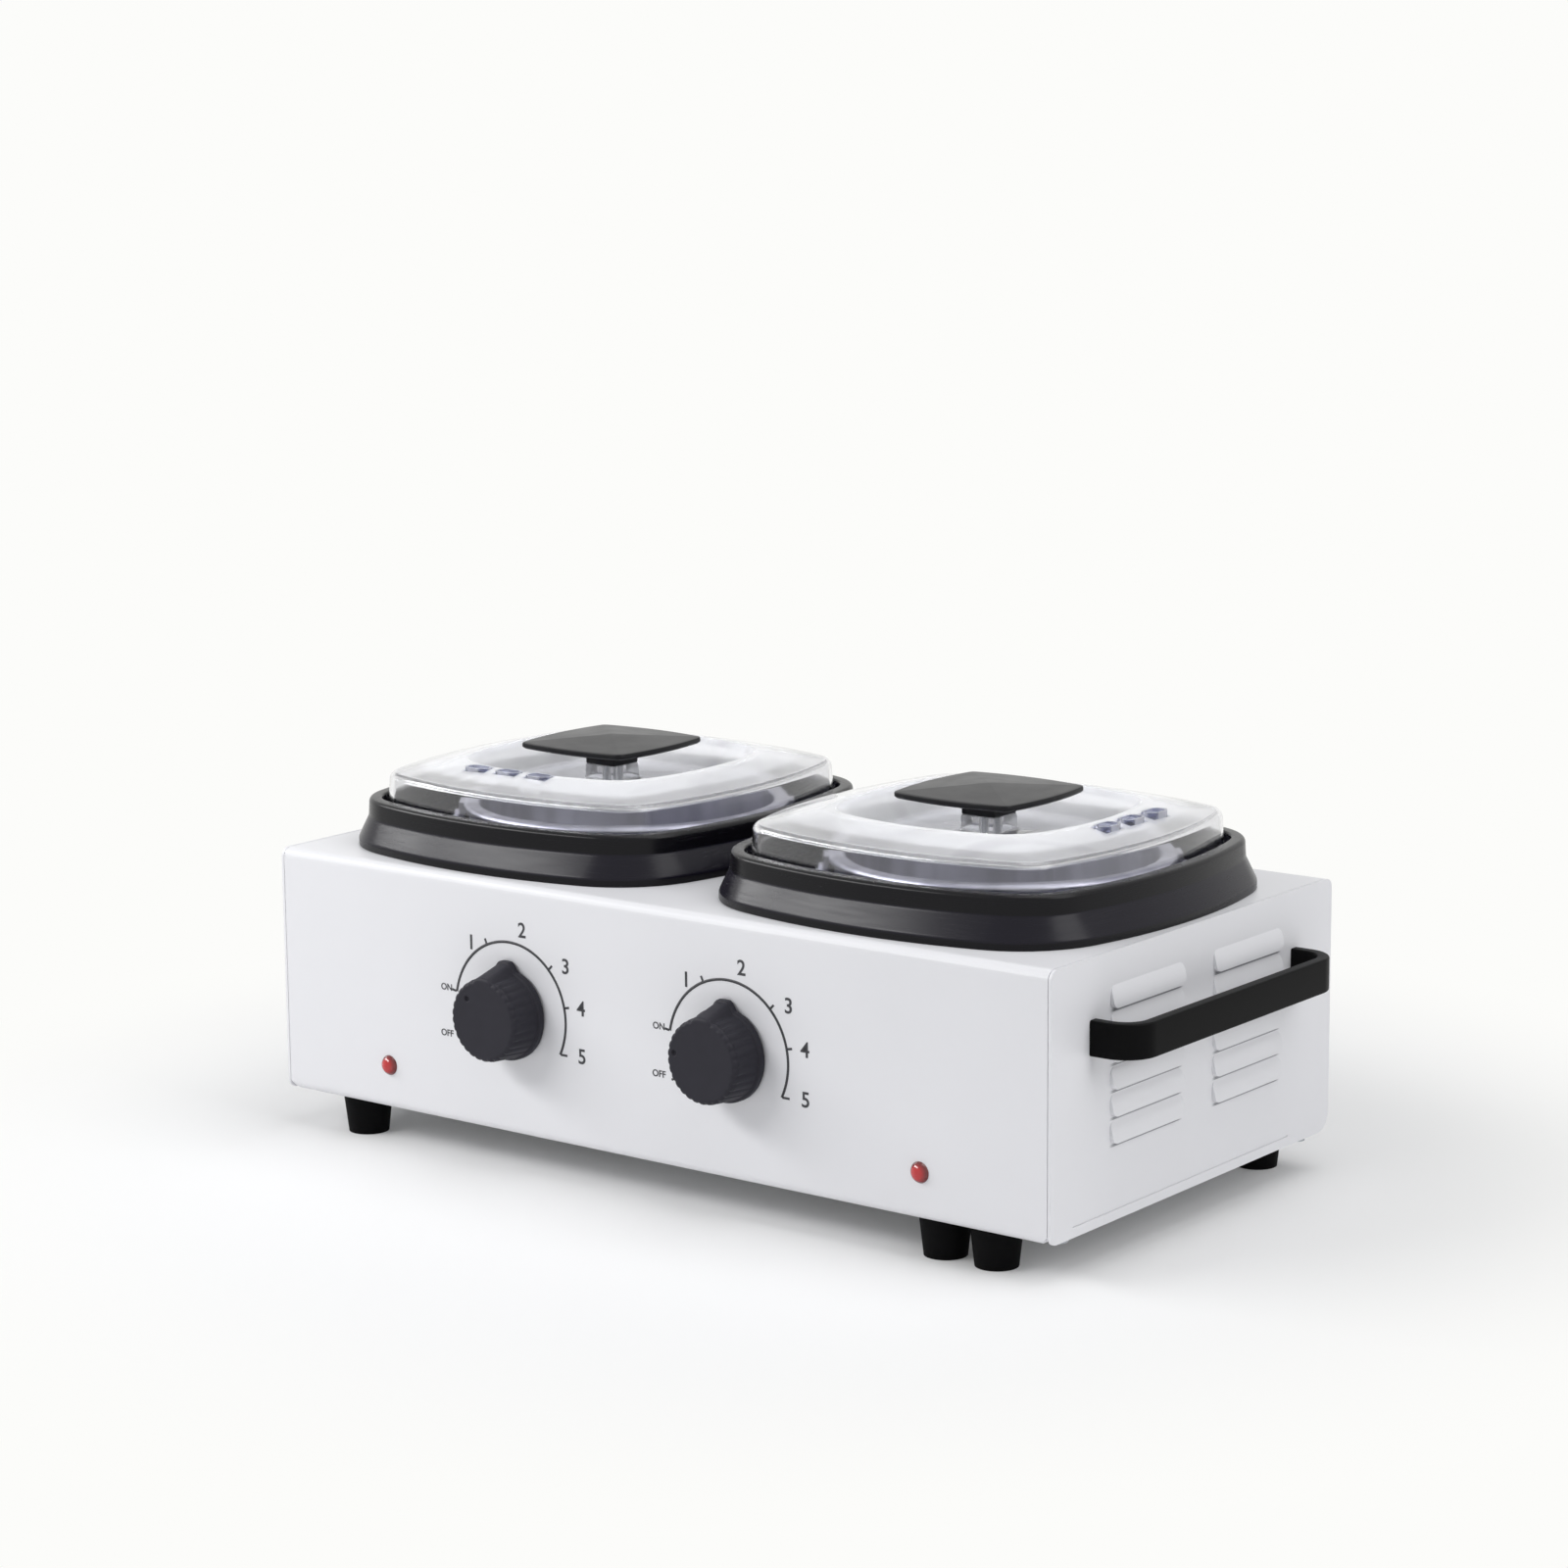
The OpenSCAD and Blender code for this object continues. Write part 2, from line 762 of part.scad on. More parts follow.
// Section of the collar from its foot over the lip to the inner floor
function collar_face() =
    let (
        top = collar_h,
        lip_r = 1.8,
        in_r = 0.9,
        d_in = -collar_draw - collar_lip
    )
    concat(
        [[0, 0]],
        [for (u = [0, flare_soft / 2, flare_soft, 0.5, 1 - flare_soft, 1 - flare_soft / 2, 1])
            [-(collar_draw - 0.4) * flare_share(u), collar_band + collar_flare * u]],
        arc(-collar_draw - lip_r, top - lip_r, lip_r, 0, 90, 5),
        arc(d_in + in_r, top - in_r, in_r, 90, 180, 4),
        [[d_in, floor_h]]
    );

// Section of the collar's hollow underside, from its inner floor to its foot
function collar_back() =
    let (d_web = -collar_draw - collar_lip + collar_wall, h = collar_band + collar_flare - collar_wall / 2)
    concat(
        [[d_web, well_wall + washer], [d_web, h], [d_web + 0.5, h]],
        [for (u = [0.6, 0.35, 0]) [-(collar_draw - 0.4) * flare_share(u) - collar_wall, u * h]]
    );

// Share of the collar's draw reached at a share of the flare's height, straight between its soft ends
function flare_share(u) =
    let (e = flare_soft)
    u < e ? u * u / (2 * e * (1 - e))
    : u > 1 - e ? 1 - pow(1 - u, 2) / (2 * e * (1 - e))
    : (u - e / 2) / (1 - e);

// Moulded collar with its inner floor and screw bosses
module collar() {
    face = collar_face();
    section = concat(face, collar_back());
    rings = [for (p = section)
        level(bowed_square(collar_w / 2 + p.x, collar_side_r + p.x, collar_corner_r + corner_draw * p.x),
            top_z + p.y)];
    difference() {
        union() {
            walled_tray(rings, len(face));
            for (sx = [-1, 1], sy = [-1, 1])
                translate([sx * collar_screw_off, sy * collar_screw_off, top_z])
                    cylinder(r = 3.6, h = floor_h - 0.5, $fn = 48);
        }
        translate([0, well_back, top_z - 1])
            cylinder(r = floor_hole_r, h = floor_h + 3);
        for (sx = [-1, 1], sy = [-1, 1])
            translate([sx * collar_screw_off, sy * collar_screw_off, top_z - 1])
                cylinder(r = pilot_r, h = floor_h + 0.4, $fn = 32);
    }
}

module collar_left() {
    color(black)
        seated()
            station(-1)
                collar();
}

module collar_right() {
    color(black)
        seated()
            station(1)
                collar();
}

// Screws from under the housing's top into the collar bosses
module collar_screws() {
    color(steel)
        seated()
            for (side = [-1, 1], sx = [-1, 1], sy = [-1, 1])
                station(side)
                    translate([sx * collar_screw_off, sy * collar_screw_off, top_z - sheet - washer])
                        screw_up(3.4);
}

// Spun aluminium well with its mounting flange
module heating_well(side) {
    r = well_r;
    out = well_out_r;
    low = well_z;
    corner = 6;
    color(aluminium)
        seated()
            station(side)
                translate([0, well_back, 0])
                    rotate_extrude()
                        polygon(concat(
                            [[0, low]],
                            arc(out - corner, low + corner, corner, 270, 360, 8),
                            [[out, top_z], [out + well_flange, top_z]],
                            [[out + well_flange, top_z + well_wall], [out, top_z + well_wall]],
                            [[out, well_top_z], [r, well_top_z]],
                            arc(r - corner + well_wall, low + corner, corner - well_wall, 360, 270, 8),
                            [[0, low + well_wall]]
                        ));
}

module heating_well_left() {
    heating_well(-1);
}

module heating_well_right() {
    heating_well(1);
}

// Band heater clamped round the well, with its split and bolt lugs at the back
module band_heater(side) {
    r = well_out_r + washer;
    gap = 8;
    lug = 8;
    color(mica)
        seated()
            station(side)
                translate([0, well_back, 0])
                    rotate([0, 0, 90]) {
                        translate([0, 0, band_low])
                            rotate_extrude(angle = 360 - 2 * gap, start = gap)
                                translate([r, 0])
                                    square([band_t, band_h]);
                        for (s = [-1, 1])
                            rotate([0, 0, s * gap])
                                translate([r, s > 0 ? 0 : -band_t, band_low + band_h / 6])
                                    difference() {
                                        cube([lug, band_t, band_h * 2 / 3]);
                                        translate([lug * 0.62, -1, band_h / 3])
                                            rotate([-90, 0, 0])
                                                cylinder(r = clear_r, h = band_t + 2, $fn = 32);
                                    }
                    }
}

module band_heater_left() {
    band_heater(-1);
}

module band_heater_right() {
    band_heater(1);
}

// Glass wool sleeve outside the band heater, open at the back for its lugs
module insulation(side) {
    r = well_out_r + band_t + 0.5;
    gap = 18;
    color(wool)
        seated()
            station(side)
                translate([0, well_back, wool_low])
                    rotate([0, 0, 90])
                        rotate_extrude(angle = 360 - 2 * gap, start = gap)
                            translate([r, 0])
                                square([wool_t, wool_h]);
}

module insulation_left() {
    insulation(-1);
}

module insulation_right() {
    insulation(1);
}

// Capillary thermostat with its face plate and threaded bush
module thermostat(x) {
    color(bakelite)
        seated()
            translate([x, -half_d + sheet, knob_z])
                difference() {
                    union() {
                        translate([-stat_w / 2, 0, -stat_h / 2])
                            cube([stat_w, 1.5, stat_h]);
                        translate([-stat_w / 2 + 2, 1.5 - eps, -stat_h / 2 + 2])
                            cube([stat_w - 4, stat_d - 1.5, stat_h - 4]);
                        translate([0, -sheet - bush_out, 0])
                            rotate([-90, 0, 0])
                                cylinder(r = bush_r, h = bush_out + sheet + 1);
                        for (sx = [-1, 1], sz = [-1, 1])
                            translate([sx * 10 - 3, stat_d - eps, sz * 11 - 0.4])
                                cube([6, 7, 0.8]);
                    }
                    translate([0, -sheet - bush_out - 1, 0])
                        rotate([-90, 0, 0])
                            cylinder(r = shaft_r + 0.1, h = bush_out + sheet + 9);
                }
}

module thermostat_left() {
    thermostat(knob_left_x);
}

module thermostat_right() {
    thermostat(knob_right_x);
}

// Six-sided nuts that hold the thermostats to the front
module thermostat_nuts() {
    color(steel)
        seated()
            for (x = [knob_left_x, knob_right_x])
                translate([x, -half_d - nut_t, knob_z])
                    rotate([-90, 0, 0])
                        difference() {
                            cylinder(r = nut_r, h = nut_t, $fn = 6);
                            translate([0, 0, -1])
                                cylinder(r = bush_r + washer, h = nut_t + 2);
                        }
}

// Steel shaft with a flat at its outer end, turned by the knob
module thermostat_shaft(x) {
    inner = 6;
    color(steel)
        seated()
            translate([x, -half_d, knob_z])
                rotate([90, 0, 0])
                    difference() {
                        translate([0, 0, -inner])
                            cylinder(r = shaft_r, h = inner + shaft_out);
                        translate([-shaft_r - 1, shaft_flat, bush_out + 1])
                            cube([2 * shaft_r + 2, shaft_r, shaft_out]);
                    }
}

module thermostat_shaft_left() {
    thermostat_shaft(knob_left_x);
}

module thermostat_shaft_right() {
    thermostat_shaft(knob_right_x);
}

// Bulb under the well and the capillary that runs to the thermostat
module sensing_bulb(side, stat_x) {
    bend = 6;
    z = well_z - bulb_r - washer;
    back = -half_d + sheet + stat_d;
    bulb_x = side * station_x + bulb_l / 2;
    from_x = stat_x;
    y = back + bend + 2;
    color(brass)
        seated() {
            translate([side * station_x - bulb_l / 2, well_back, z])
                rotate([0, 90, 0])
                    cylinder(r = bulb_r, h = bulb_l, $fn = 48);
            translate([bulb_x - eps, well_back, z])
                rotate([0, 90, 0])
                    cylinder(r1 = bulb_r, r2 = tube_r, h = 4, $fn = 48);
            capillary([
                [bulb_x + 3, well_back, z],
                [bulb_x + 12, well_back, z],
                [bulb_x + 12, y, z],
                [from_x, y, z],
                [from_x, y, knob_z - 10],
                [from_x, back + washer, knob_z - 10]
            ], tube_r);
        }
}

// Round tube with a ball at each turn, along points that lie on straight runs
module capillary(points, r) {
    for (i = [0:len(points) - 2]) {
        v = points[i + 1] - points[i];
        l = norm(v);
        translate(points[i])
            rotate([0, acos(v.z / l), atan2(v.y, v.x)])
                cylinder(r = r, h = l, $fn = 24);
    }
    for (i = [1:len(points) - 2])
        translate(points[i])
            sphere(r = r * 1.12, $fn = 24);
}

module sensing_bulb_left() {
    sensing_bulb(-1, knob_left_x);
}

module sensing_bulb_right() {
    sensing_bulb(1, knob_right_x);
}

// Spring clips that press the bulbs to the wells
module bulb_clips() {
    r = bulb_r + 0.15;
    w = 8;
    t = clip_t;
    top = bulb_r + washer;
    color(steel)
        seated()
            for (side = [-1, 1], dx = [-bulb_l / 3, bulb_l / 3])
                station(side)
                    translate([dx - w / 2, well_back, well_z - top])
                        rotate([90, 0, 90])
                            linear_extrude(w)
                                difference() {
                                    union() {
                                        circle(r = r + t, $fn = 48);
                                        translate([-r - 7, top - t])
                                            square([2 * r + 14, t]);
                                    }
                                    circle(r = r, $fn = 48);
                                    translate([-r, 0])
                                        square([2 * r, r + t]);
                                    translate([-20, top])
                                        square([40, 5]);
                                }
}

// Domed red lens with its collar behind the front
module lamp_lens(side) {
    dome_r = (lamp_r * lamp_r + lamp_dome * lamp_dome) / (2 * lamp_dome);
    color(red)
        seated()
            translate([side * lamp_x, -half_d, lamp_z])
                rotate([90, 0, 0]) {
                    intersection() {
                        translate([0, 0, lamp_dome - dome_r])
                            sphere(r = dome_r);
                        cylinder(r = lamp_r, h = lamp_dome + 1);
                    }
                    translate([0, 0, -sheet - 4])
                        cylinder(r = lamp_r - 0.6, h = sheet + 4 + eps);
                }
}

module lamp_lens_left() {
    lamp_lens(-1);
}

module lamp_lens_right() {
    lamp_lens(1);
}

// Neon lamp body with its two tags, pushed over the lens
module lamp_body(side) {
    color(black)
        seated()
            translate([side * lamp_x, -half_d + sheet + 1.2, lamp_z])
                rotate([-90, 0, 0]) {
                    difference() {
                        cylinder(r = lamp_r + 0.9, h = 20);
                        translate([0, 0, -1])
                            cylinder(r = lamp_r - 0.5, h = 5);
                    }
                    for (s = [-1, 1])
                        translate([s * 2 - 0.25, -1.4, 20 - eps])
                            cube([0.5, 2.8, 7]);
                }
}

module lamp_body_left() {
    lamp_body(-1);
}

module lamp_body_right() {
    lamp_body(1);
}

// Push-on clips that hold the lamps against the front
module lamp_clips() {
    color(steel)
        seated()
            for (side = [-1, 1])
                translate([side * lamp_x, -half_d + sheet, lamp_z])
                    rotate([-90, 0, 0])
                        difference() {
                            cylinder(r = lamp_r + 3, h = 1.1);
                            translate([0, 0, -1])
                                cylinder(r = lamp_r - 0.55, h = 4);
                        }
}

// Three-way block on the bottom plate, between the wells
module terminal_block() {
    bay = block_w / 3;
    color("#d9d6cc")
        seated()
            translate([-block_w / 2, block_y - block_d / 2, 2 * sheet])
                difference() {
                    cube([block_w, block_d, block_h]);
                    for (i = [0:2])
                        translate([bay * (i + 0.5), block_d / 2, block_h / 3]) {
                            cylinder(r = 2.2, h = block_h, $fn = 32);
                            translate([0, -block_d, 0])
                                rotate([-90, 0, 0])
                                    cylinder(r = 1.9, h = 2 * block_d, $fn = 32);
                        }
                    for (i = [1, 2])
                        translate([bay * i, block_d / 2, -1])
                            cylinder(r = pilot_r, h = block_h + 2, $fn = 24);
                }
}

module terminal_screws() {
    color(brass)
        seated()
            for (i = [-1, 0, 1])
                translate([i * block_w / 3, block_y, 2 * sheet + block_h / 3])
                    difference() {
                        cylinder(r = 2.1, h = block_h * 0.6, $fn = 32);
                        translate([-3, -0.3, block_h * 0.6 - 1])
                            cube([6, 0.6, 2]);
                    }
}

// Earth stud welded to the bottom plate, with its washer and nut
module earth_stud() {
    color(brass)
        seated()
            translate([stud_x, block_y, 2 * sheet]) {
                cylinder(r = stud_r, h = stud_h, $fn = 32);
                cylinder(r = 2.2 * stud_r, h = 1, $fn = 48);
                translate([0, 0, 1 - eps])
                    cylinder(r = 2 * stud_r, h = 1.6 * stud_r, $fn = 6);
            }
}

// Moulded gland in the back, with its bore for the mains lead
module cord_gland() {
    bore = gland_bore;
    out = gland_reach;
    color(black)
        seated()
            translate([gland_x, half_d, gland_z])
                rotate([-90, 0, 0])
                    rotate_extrude()
                        polygon(concat(
                            [[bore, -10], [bore + 2.4, -10], [bore + 2.4, 0], [bore + 5, 0], [bore + 5, 2]],
                            arc(bore + 2.4, out - 2.4, 2.4, 0, 90, 5),
                            [[bore, out]]
                        ));
}

module cord_gland_nut() {
    color(black)
        seated()
            translate([gland_x, half_d - sheet, gland_z])
                rotate([90, 0, 0])
                    difference() {
                        cylinder(r = gland_bore + 6, h = 4, $fn = 6);
                        translate([0, 0, -1])
                            cylinder(r = gland_bore + 2.45, h = 6);
                    }
}

// Fluted knob with a pointer on its skirt and a hollow back
module knob(x) {
    back = 0.8;
    tip = knob_reach;
    round_r = 1.6;
    hollow_r = grip_r - 2.4;
    hollow = 8.6;
    hub_r = 5.2;
    flute_r = 1.2;
    ridge_z = back + skirt_t + 1.6;
    color(charcoal)
        seated()
            translate([x, -half_d, knob_z])
                rotate([90, 0, 0])
                    difference() {
                        union() {
                            rotate_extrude()
                                polygon(concat(
                                    [[0, back], [skirt_r, back], [skirt_r, back + skirt_t - 0.8]],
                                    [[skirt_r - 0.6, back + skirt_t], [grip_r, back + skirt_t + 0.4]],
                                    arc(face_r - round_r, tip - round_r, round_r, 8, 90, 6),
                                    [[0, tip]]
                                ));
                            difference() {
                                translate([0, 0, back])
                                    linear_extrude(tip - round_r - back)
                                        polygon([
                                            [-5.2, skirt_r - 3], [-1.6, skirt_r + pointer],
                                            [1.6, skirt_r + pointer], [5.2, skirt_r - 3]
                                        ]);
                                translate([-10, skirt_r + pointer, ridge_z])
                                    rotate([atan((skirt_r + pointer - grip_r) / (tip - round_r - ridge_z)), 0, 0])
                                        cube([20, 20, 20]);
                            }
                        }
                        for (i = [0:flutes - 1])
                            rotate([0, 0, 360 * (i + 0.5) / flutes])
                                translate([grip_r + flute_r - flute_depth, 0, back + skirt_t + 1.7])
                                    rotate([0, -atan((grip_r - face_r) / (tip - skirt_t)), 0])
                                        cylinder(r = flute_r, h = tip, $fn = 20);
                        difference() {
                            translate([0, 0, -1])
                                cylinder(r = hollow_r, h = hollow + 1);
                            translate([0, 0, bush_out + 1.2])
                                cylinder(r = hub_r, h = hollow);
                        }
                        difference() {
                            cylinder(r = shaft_r + shaft_fit, h = shaft_out + 0.4);
                            translate([-10, shaft_flat + shaft_fit, 0])
                                cube([20, 10, tip]);
                        }
                        rotate([0, 0, 60])
                            translate([0, face_r - 4.6, tip - 0.9])
                                cylinder(r1 = 0.8, r2 = 1.2, h = 2, $fn = 32);
                    }
}

module knob_left() {
    knob(knob_left_x);
}

module knob_right() {
    knob(knob_right_x);
}

// Spun aluminium pot with a rolled rim and two bail ears
module pot(side) {
    t = pot_wall;
    low = well_z + well_wall + 4;
    corner = 8;
    floor_r = pot_r - pot_taper;
    rim_c = rim_h / 2;
    ear_w = 9;
    color(aluminium)
        seated()
            station(side)
                translate([0, well_back, 0])
                    difference() {
                        union() {
                            rotate_extrude()
                                polygon(concat(
                                    [[0, low]],
                                    arc(floor_r + t - corner, low + corner, corner, 270, 360, 8),
                                    [[pot_r + t, rim_top_z - rim_h]],
                                    arc(rim_r - rim_c, rim_top_z - rim_c, rim_c, 270, 450, 12),
                                    arc(pot_r + rim_c, rim_top_z - rim_c, rim_c, 90, 180, 6),
                                    arc(floor_r - corner + t, low + corner, corner - t, 360, 270, 8),
                                    [[0, low + t]]
                                ));
                            for (end = [0, 180])
                                rotate([0, 0, pot_turn + end])
                                    translate([rim_r - 0.4, -ear_w / 2, rivet_z - eye_r])
                                        cube([ear_t + 0.4, ear_w, rim_top_z - rivet_z + eye_r - 0.8]);
                        }
                        for (end = [0, 180])
                            rotate([0, 0, pot_turn + end])
                                translate([rim_r - 2.2, 0, rivet_z])
                                    rotate([0, 90, 0])
                                        cylinder(r = rivet_r, h = ear_t + 4, $fn = 32);
                    }
}

module pot_left() {
    pot(-1);
}

module pot_right() {
    pot(1);
}

// Half-ring bail that lies round the front of its pot
module bail(side) {
    color(aluminium)
        seated()
            station(side)
                translate([0, well_back, 0])
                    rotate([0, 0, pot_turn])
                        difference() {
                            union() {
                                translate([0, 0, bail_z - bail_h / 2])
                                    rotate_extrude(angle = 180, start = 180)
                                        translate([bail_r, 0])
                                            square([bail_t, bail_h]);
                                for (s = [-1, 1])
                                    translate([s * (bail_r + bail_t / 2) - bail_t / 2, 0, rivet_z])
                                        rotate([0, 90, 0])
                                            cylinder(r = eye_r, h = bail_t, $fn = 48);
                            }
                            for (s = [-1, 1])
                                translate([s * bail_r - 3, 0, rivet_z])
                                    rotate([0, 90, 0])
                                        cylinder(r = rivet_r + 0.08, h = 6, $fn = 32);
                        }
}

module bail_left() {
    bail(-1);
}

module bail_right() {
    bail(1);
}

// Rivets through the ears, with a head outside each bail eye
module bail_rivets(side) {
    head = 0.9;
    color(steel)
        seated()
            station(side)
                translate([0, well_back, 0])
                    for (end = [0, 180])
                        rotate([0, 0, pot_turn + end])
                            translate([rim_r - 1.6, 0, rivet_z])
                                rotate([0, 90, 0]) {
                                    cylinder(r = rivet_r, h = 1.6 + ear_t + seam + bail_t + 0.3, $fn = 32);
                                    translate([0, 0, 1.6 + ear_t + seam + bail_t + 0.2])
                                        cylinder(r1 = rivet_r + 1, r2 = rivet_r + 0.4, h = head, $fn = 32);
                                }
}

module bail_rivets_left() {
    bail_rivets(-1);
}

module bail_rivets_right() {
    bail_rivets(1);
}

// Outline of the lid at an inset from its lower edge
function lid_outline(inset) =
    bowed_square(lid_w / 2 - inset, lid_side_r - inset, max(lid_corner_r - inset, 4));

// Outline of the dish, which is rounder than the lid
function dish_outline(half) = bowed_square(half, half * 2.4, half * 0.42);

// Rings of the lid's outside from its lower edge to the middle of the dish
function lid_rings(t) =
    let (
        shoulder_r = 3.2 - t,
        side = lid_draft + t,
        ring = ring_half - (t > 0 ? t * 0.3 : 0),
        dish = dish_half - t
    )
    concat(
        [level(lid_outline(t), lid_z), level(lid_outline(side * 0.8 + t * 0.2), shoulder_z - 4)],
        [for (a = [0, 35, 65, 90])
            level(lid_outline(side + shoulder_r * (1 - cos(a)) * 1.0),
                shoulder_z - t - shoulder_r * (1 - sin(a)))],
        [level(dish_outline(ring + 4), ring_z - 0.5 - t)],
        [level(dish_outline(ring + 1), ring_z - t), level(dish_outline(ring - 1), ring_z - 0.6 - t)],
        [level(dish_outline(dish + 1.6), dish_z + 1.6 - t), level(dish_outline(dish - 1), dish_z - t)]
    );

// Clear moulded lid with a dish for the fingers, a boss and three vents
module lid(side) {
    outer = lid_rings(0);
    inner = lid_rings(lid_wall);
    rings = concat(outer, [for (i = [len(inner) - 1:-1:0]) inner[i]]);
    color(clear)
        seated()
            station(side)
                difference() {
                    union() {
                        walled_tray(rings, len(outer));
                        translate([-boss_w / 2, -boss_w / 2, dish_z - eps])
                            cube([boss_w, boss_w, boss_h + eps]);
                    }
                    for (i = [-1, 0, 1])
                        lid_vent(side, i);
                    translate([0, 0, dish_z - lid_wall - 1])
                        cylinder(r = clear_r, h = boss_h + lid_wall + 3, $fn = 32);
                }
}

// Oval steam vent through the ring of the lid
module lid_vent(side, i) {
    x = side > 0 ? vent_side : i * vent_pitch - vent_left_shift;
    y = side > 0 ? i * vent_pitch + vent_back_shift : -vent_front;
    turn = side > 0 ? 0 : 90;
    translate([x, y, shoulder_z - 4])
        rotate([0, 0, turn]) {
            translate([-vent_w / 2, -(vent_l - vent_w) / 2, 0])
                cube([vent_w, vent_l - vent_w, 14]);
            for (s = [-1, 1])
                translate([0, s * (vent_l - vent_w) / 2, 0])
                    cylinder(r = vent_w / 2, h = 14, $fn = 24);
        }
}

module lid_left() {
    lid(-1);
}

module lid_right() {
    lid(1);
}

// Black handle: a low pyramid plate on a square stem
module lid_handle(side) {
    half = plate_w / 2;
    plate = function (s) bowed_square(half * s, half * s * 4.2, half * s * 0.12, 4, 4);
    color(black)
        seated()
            station(side)
                difference() {
                    union() {
                        loft([
                            level(plate(0.93), plate_low_z),
                            level(plate(1), plate_low_z + 0.8),
                            level(plate(1), plate_low_z + plate_t - 0.5),
                            level(plate(0.975), plate_low_z + plate_t),
                            level(plate(0.02), plate_low_z + plate_t + plate_rise)
                        ]);
                        translate([-stem_w / 2, -stem_w / 2, boss_top_z])
                            cube([stem_w, stem_w, plate_low_z - boss_top_z + 0.5]);
                    }
                    translate([0, 0, boss_top_z - 1])
                        cylinder(r = pilot_r, h = plate_low_z - boss_top_z + 2.4, $fn = 32);
                }
}

module lid_handle_left() {
    lid_handle(-1);
}

module lid_handle_right() {
    lid_handle(1);
}

// Screw from under the dish into the handle's stem
module lid_screw(side) {
    color(steel)
        seated()
            station(side)
                translate([0, 0, dish_z - lid_wall - washer])
                    screw_up(boss_h + lid_wall + 6);
}

module lid_screw_left() {
    lid_screw(-1);
}

module lid_screw_right() {
    lid_screw(1);
}

housing_shell();
back_panel();
lap_screws();
side_panel_left();
side_panel_right();
bottom_plate();
base_screws();
foot(foot_places()[0]);  // foot_front_left
foot(foot_places()[1]);  // foot_front_right
foot(foot_places()[2]);  // foot_rear_left
foot(foot_places()[3]);  // foot_rear_right
foot(foot_places()[4]);  // foot_fifth
foot_screws();
carry_handle_left();
carry_handle_right();
carry_handle_screws();
collar_left();
collar_right();
collar_screws();
heating_well_left();
heating_well_right();
band_heater_left();
band_heater_right();
insulation_left();
insulation_right();
thermostat_left();
thermostat_right();
thermostat_nuts();
thermostat_shaft_left();
thermostat_shaft_right();
sensing_bulb_left();
sensing_bulb_right();
bulb_clips();
lamp_lens_left();
lamp_lens_right();
lamp_body_left();
lamp_body_right();
lamp_clips();
terminal_block();
terminal_screws();
earth_stud();
cord_gland();
cord_gland_nut();
knob_left();
knob_right();
pot_left();
pot_right();
bail_left();
bail_right();
bail_rivets_left();
bail_rivets_right();
lid_left();
lid_right();
lid_handle_left();
lid_handle_right();
lid_screw_left();
lid_screw_right();
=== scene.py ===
# %% [markdown]
# # A double wax warmer
# A salon wax warmer is a folded sheet-steel box with two heated wells let into its top. A pot
# stands in each well, under a clear moulded lid. The CAD model gives every part its place, and
# this lesson dresses it: it paints the steel, remakes the soft mouldings as smooth meshes, prints
# the dials and lights the whole as a catalogue photograph.

# %% Load the frame
import math

import bmesh
import bpy
import numpy as np
from mathutils import Matrix, Vector


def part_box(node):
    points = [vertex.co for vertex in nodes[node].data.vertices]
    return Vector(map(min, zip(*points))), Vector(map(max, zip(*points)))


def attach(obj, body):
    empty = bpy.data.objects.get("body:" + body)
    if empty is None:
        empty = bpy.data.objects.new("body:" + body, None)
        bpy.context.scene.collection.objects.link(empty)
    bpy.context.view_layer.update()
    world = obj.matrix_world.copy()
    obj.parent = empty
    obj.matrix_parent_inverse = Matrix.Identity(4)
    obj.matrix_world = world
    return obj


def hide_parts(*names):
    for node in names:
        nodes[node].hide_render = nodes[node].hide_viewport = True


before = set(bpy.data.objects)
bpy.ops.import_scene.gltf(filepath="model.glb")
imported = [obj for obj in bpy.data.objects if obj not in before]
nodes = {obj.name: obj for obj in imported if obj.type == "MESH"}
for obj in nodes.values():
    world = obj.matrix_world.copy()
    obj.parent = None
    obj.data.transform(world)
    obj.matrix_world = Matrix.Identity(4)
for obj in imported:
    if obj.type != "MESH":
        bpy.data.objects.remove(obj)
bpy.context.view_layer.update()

MM = 0.001

# %% [markdown]
# The camera comes first, because everything is judged through it. It stands to the right of the
# warmer and a little above it, with a long lens, as a product photographer's would.

# %% Camera and colour handling
camera = bpy.data.cameras.new("product_camera")
camera.sensor_width = 36
camera.lens = 92.43
camera_seat = bpy.data.objects.new("product_camera", camera)
camera_seat.location = (0.86342, -1.11644, 0.39949)
camera_seat.rotation_euler = [math.radians(a) for a in (79.3551, 0.4837, 37.6564)]
bpy.context.collection.objects.link(camera_seat)
bpy.context.scene.camera = camera_seat
bpy.context.scene.view_settings.view_transform = "Standard"
print("camera lens:", camera.lens, "mm")

# %% [markdown]
# Every finish is a small node tree. Two helpers keep the trees short: one turns the sRGB hex value
# of a colour chart into the linear numbers that a shader wants, and one adds a node with its
# settings and its links. A node that is given as an input stands for its first output.

# %% Colours and nodes
SMOOTH = {"interpolation_type": "SMOOTHSTEP"}
COLOURS = {"data_type": "RGBA"}


def linear(hex_colour):
    """Linear RGBA of an sRGB hex value."""
    channels = [int(hex_colour[i:i + 2], 16) / 255 for i in (1, 3, 5)]
    return [c / 12.92 if c <= 0.04045 else ((c + 0.055) / 1.055) ** 2.4 for c in channels] + [1.0]


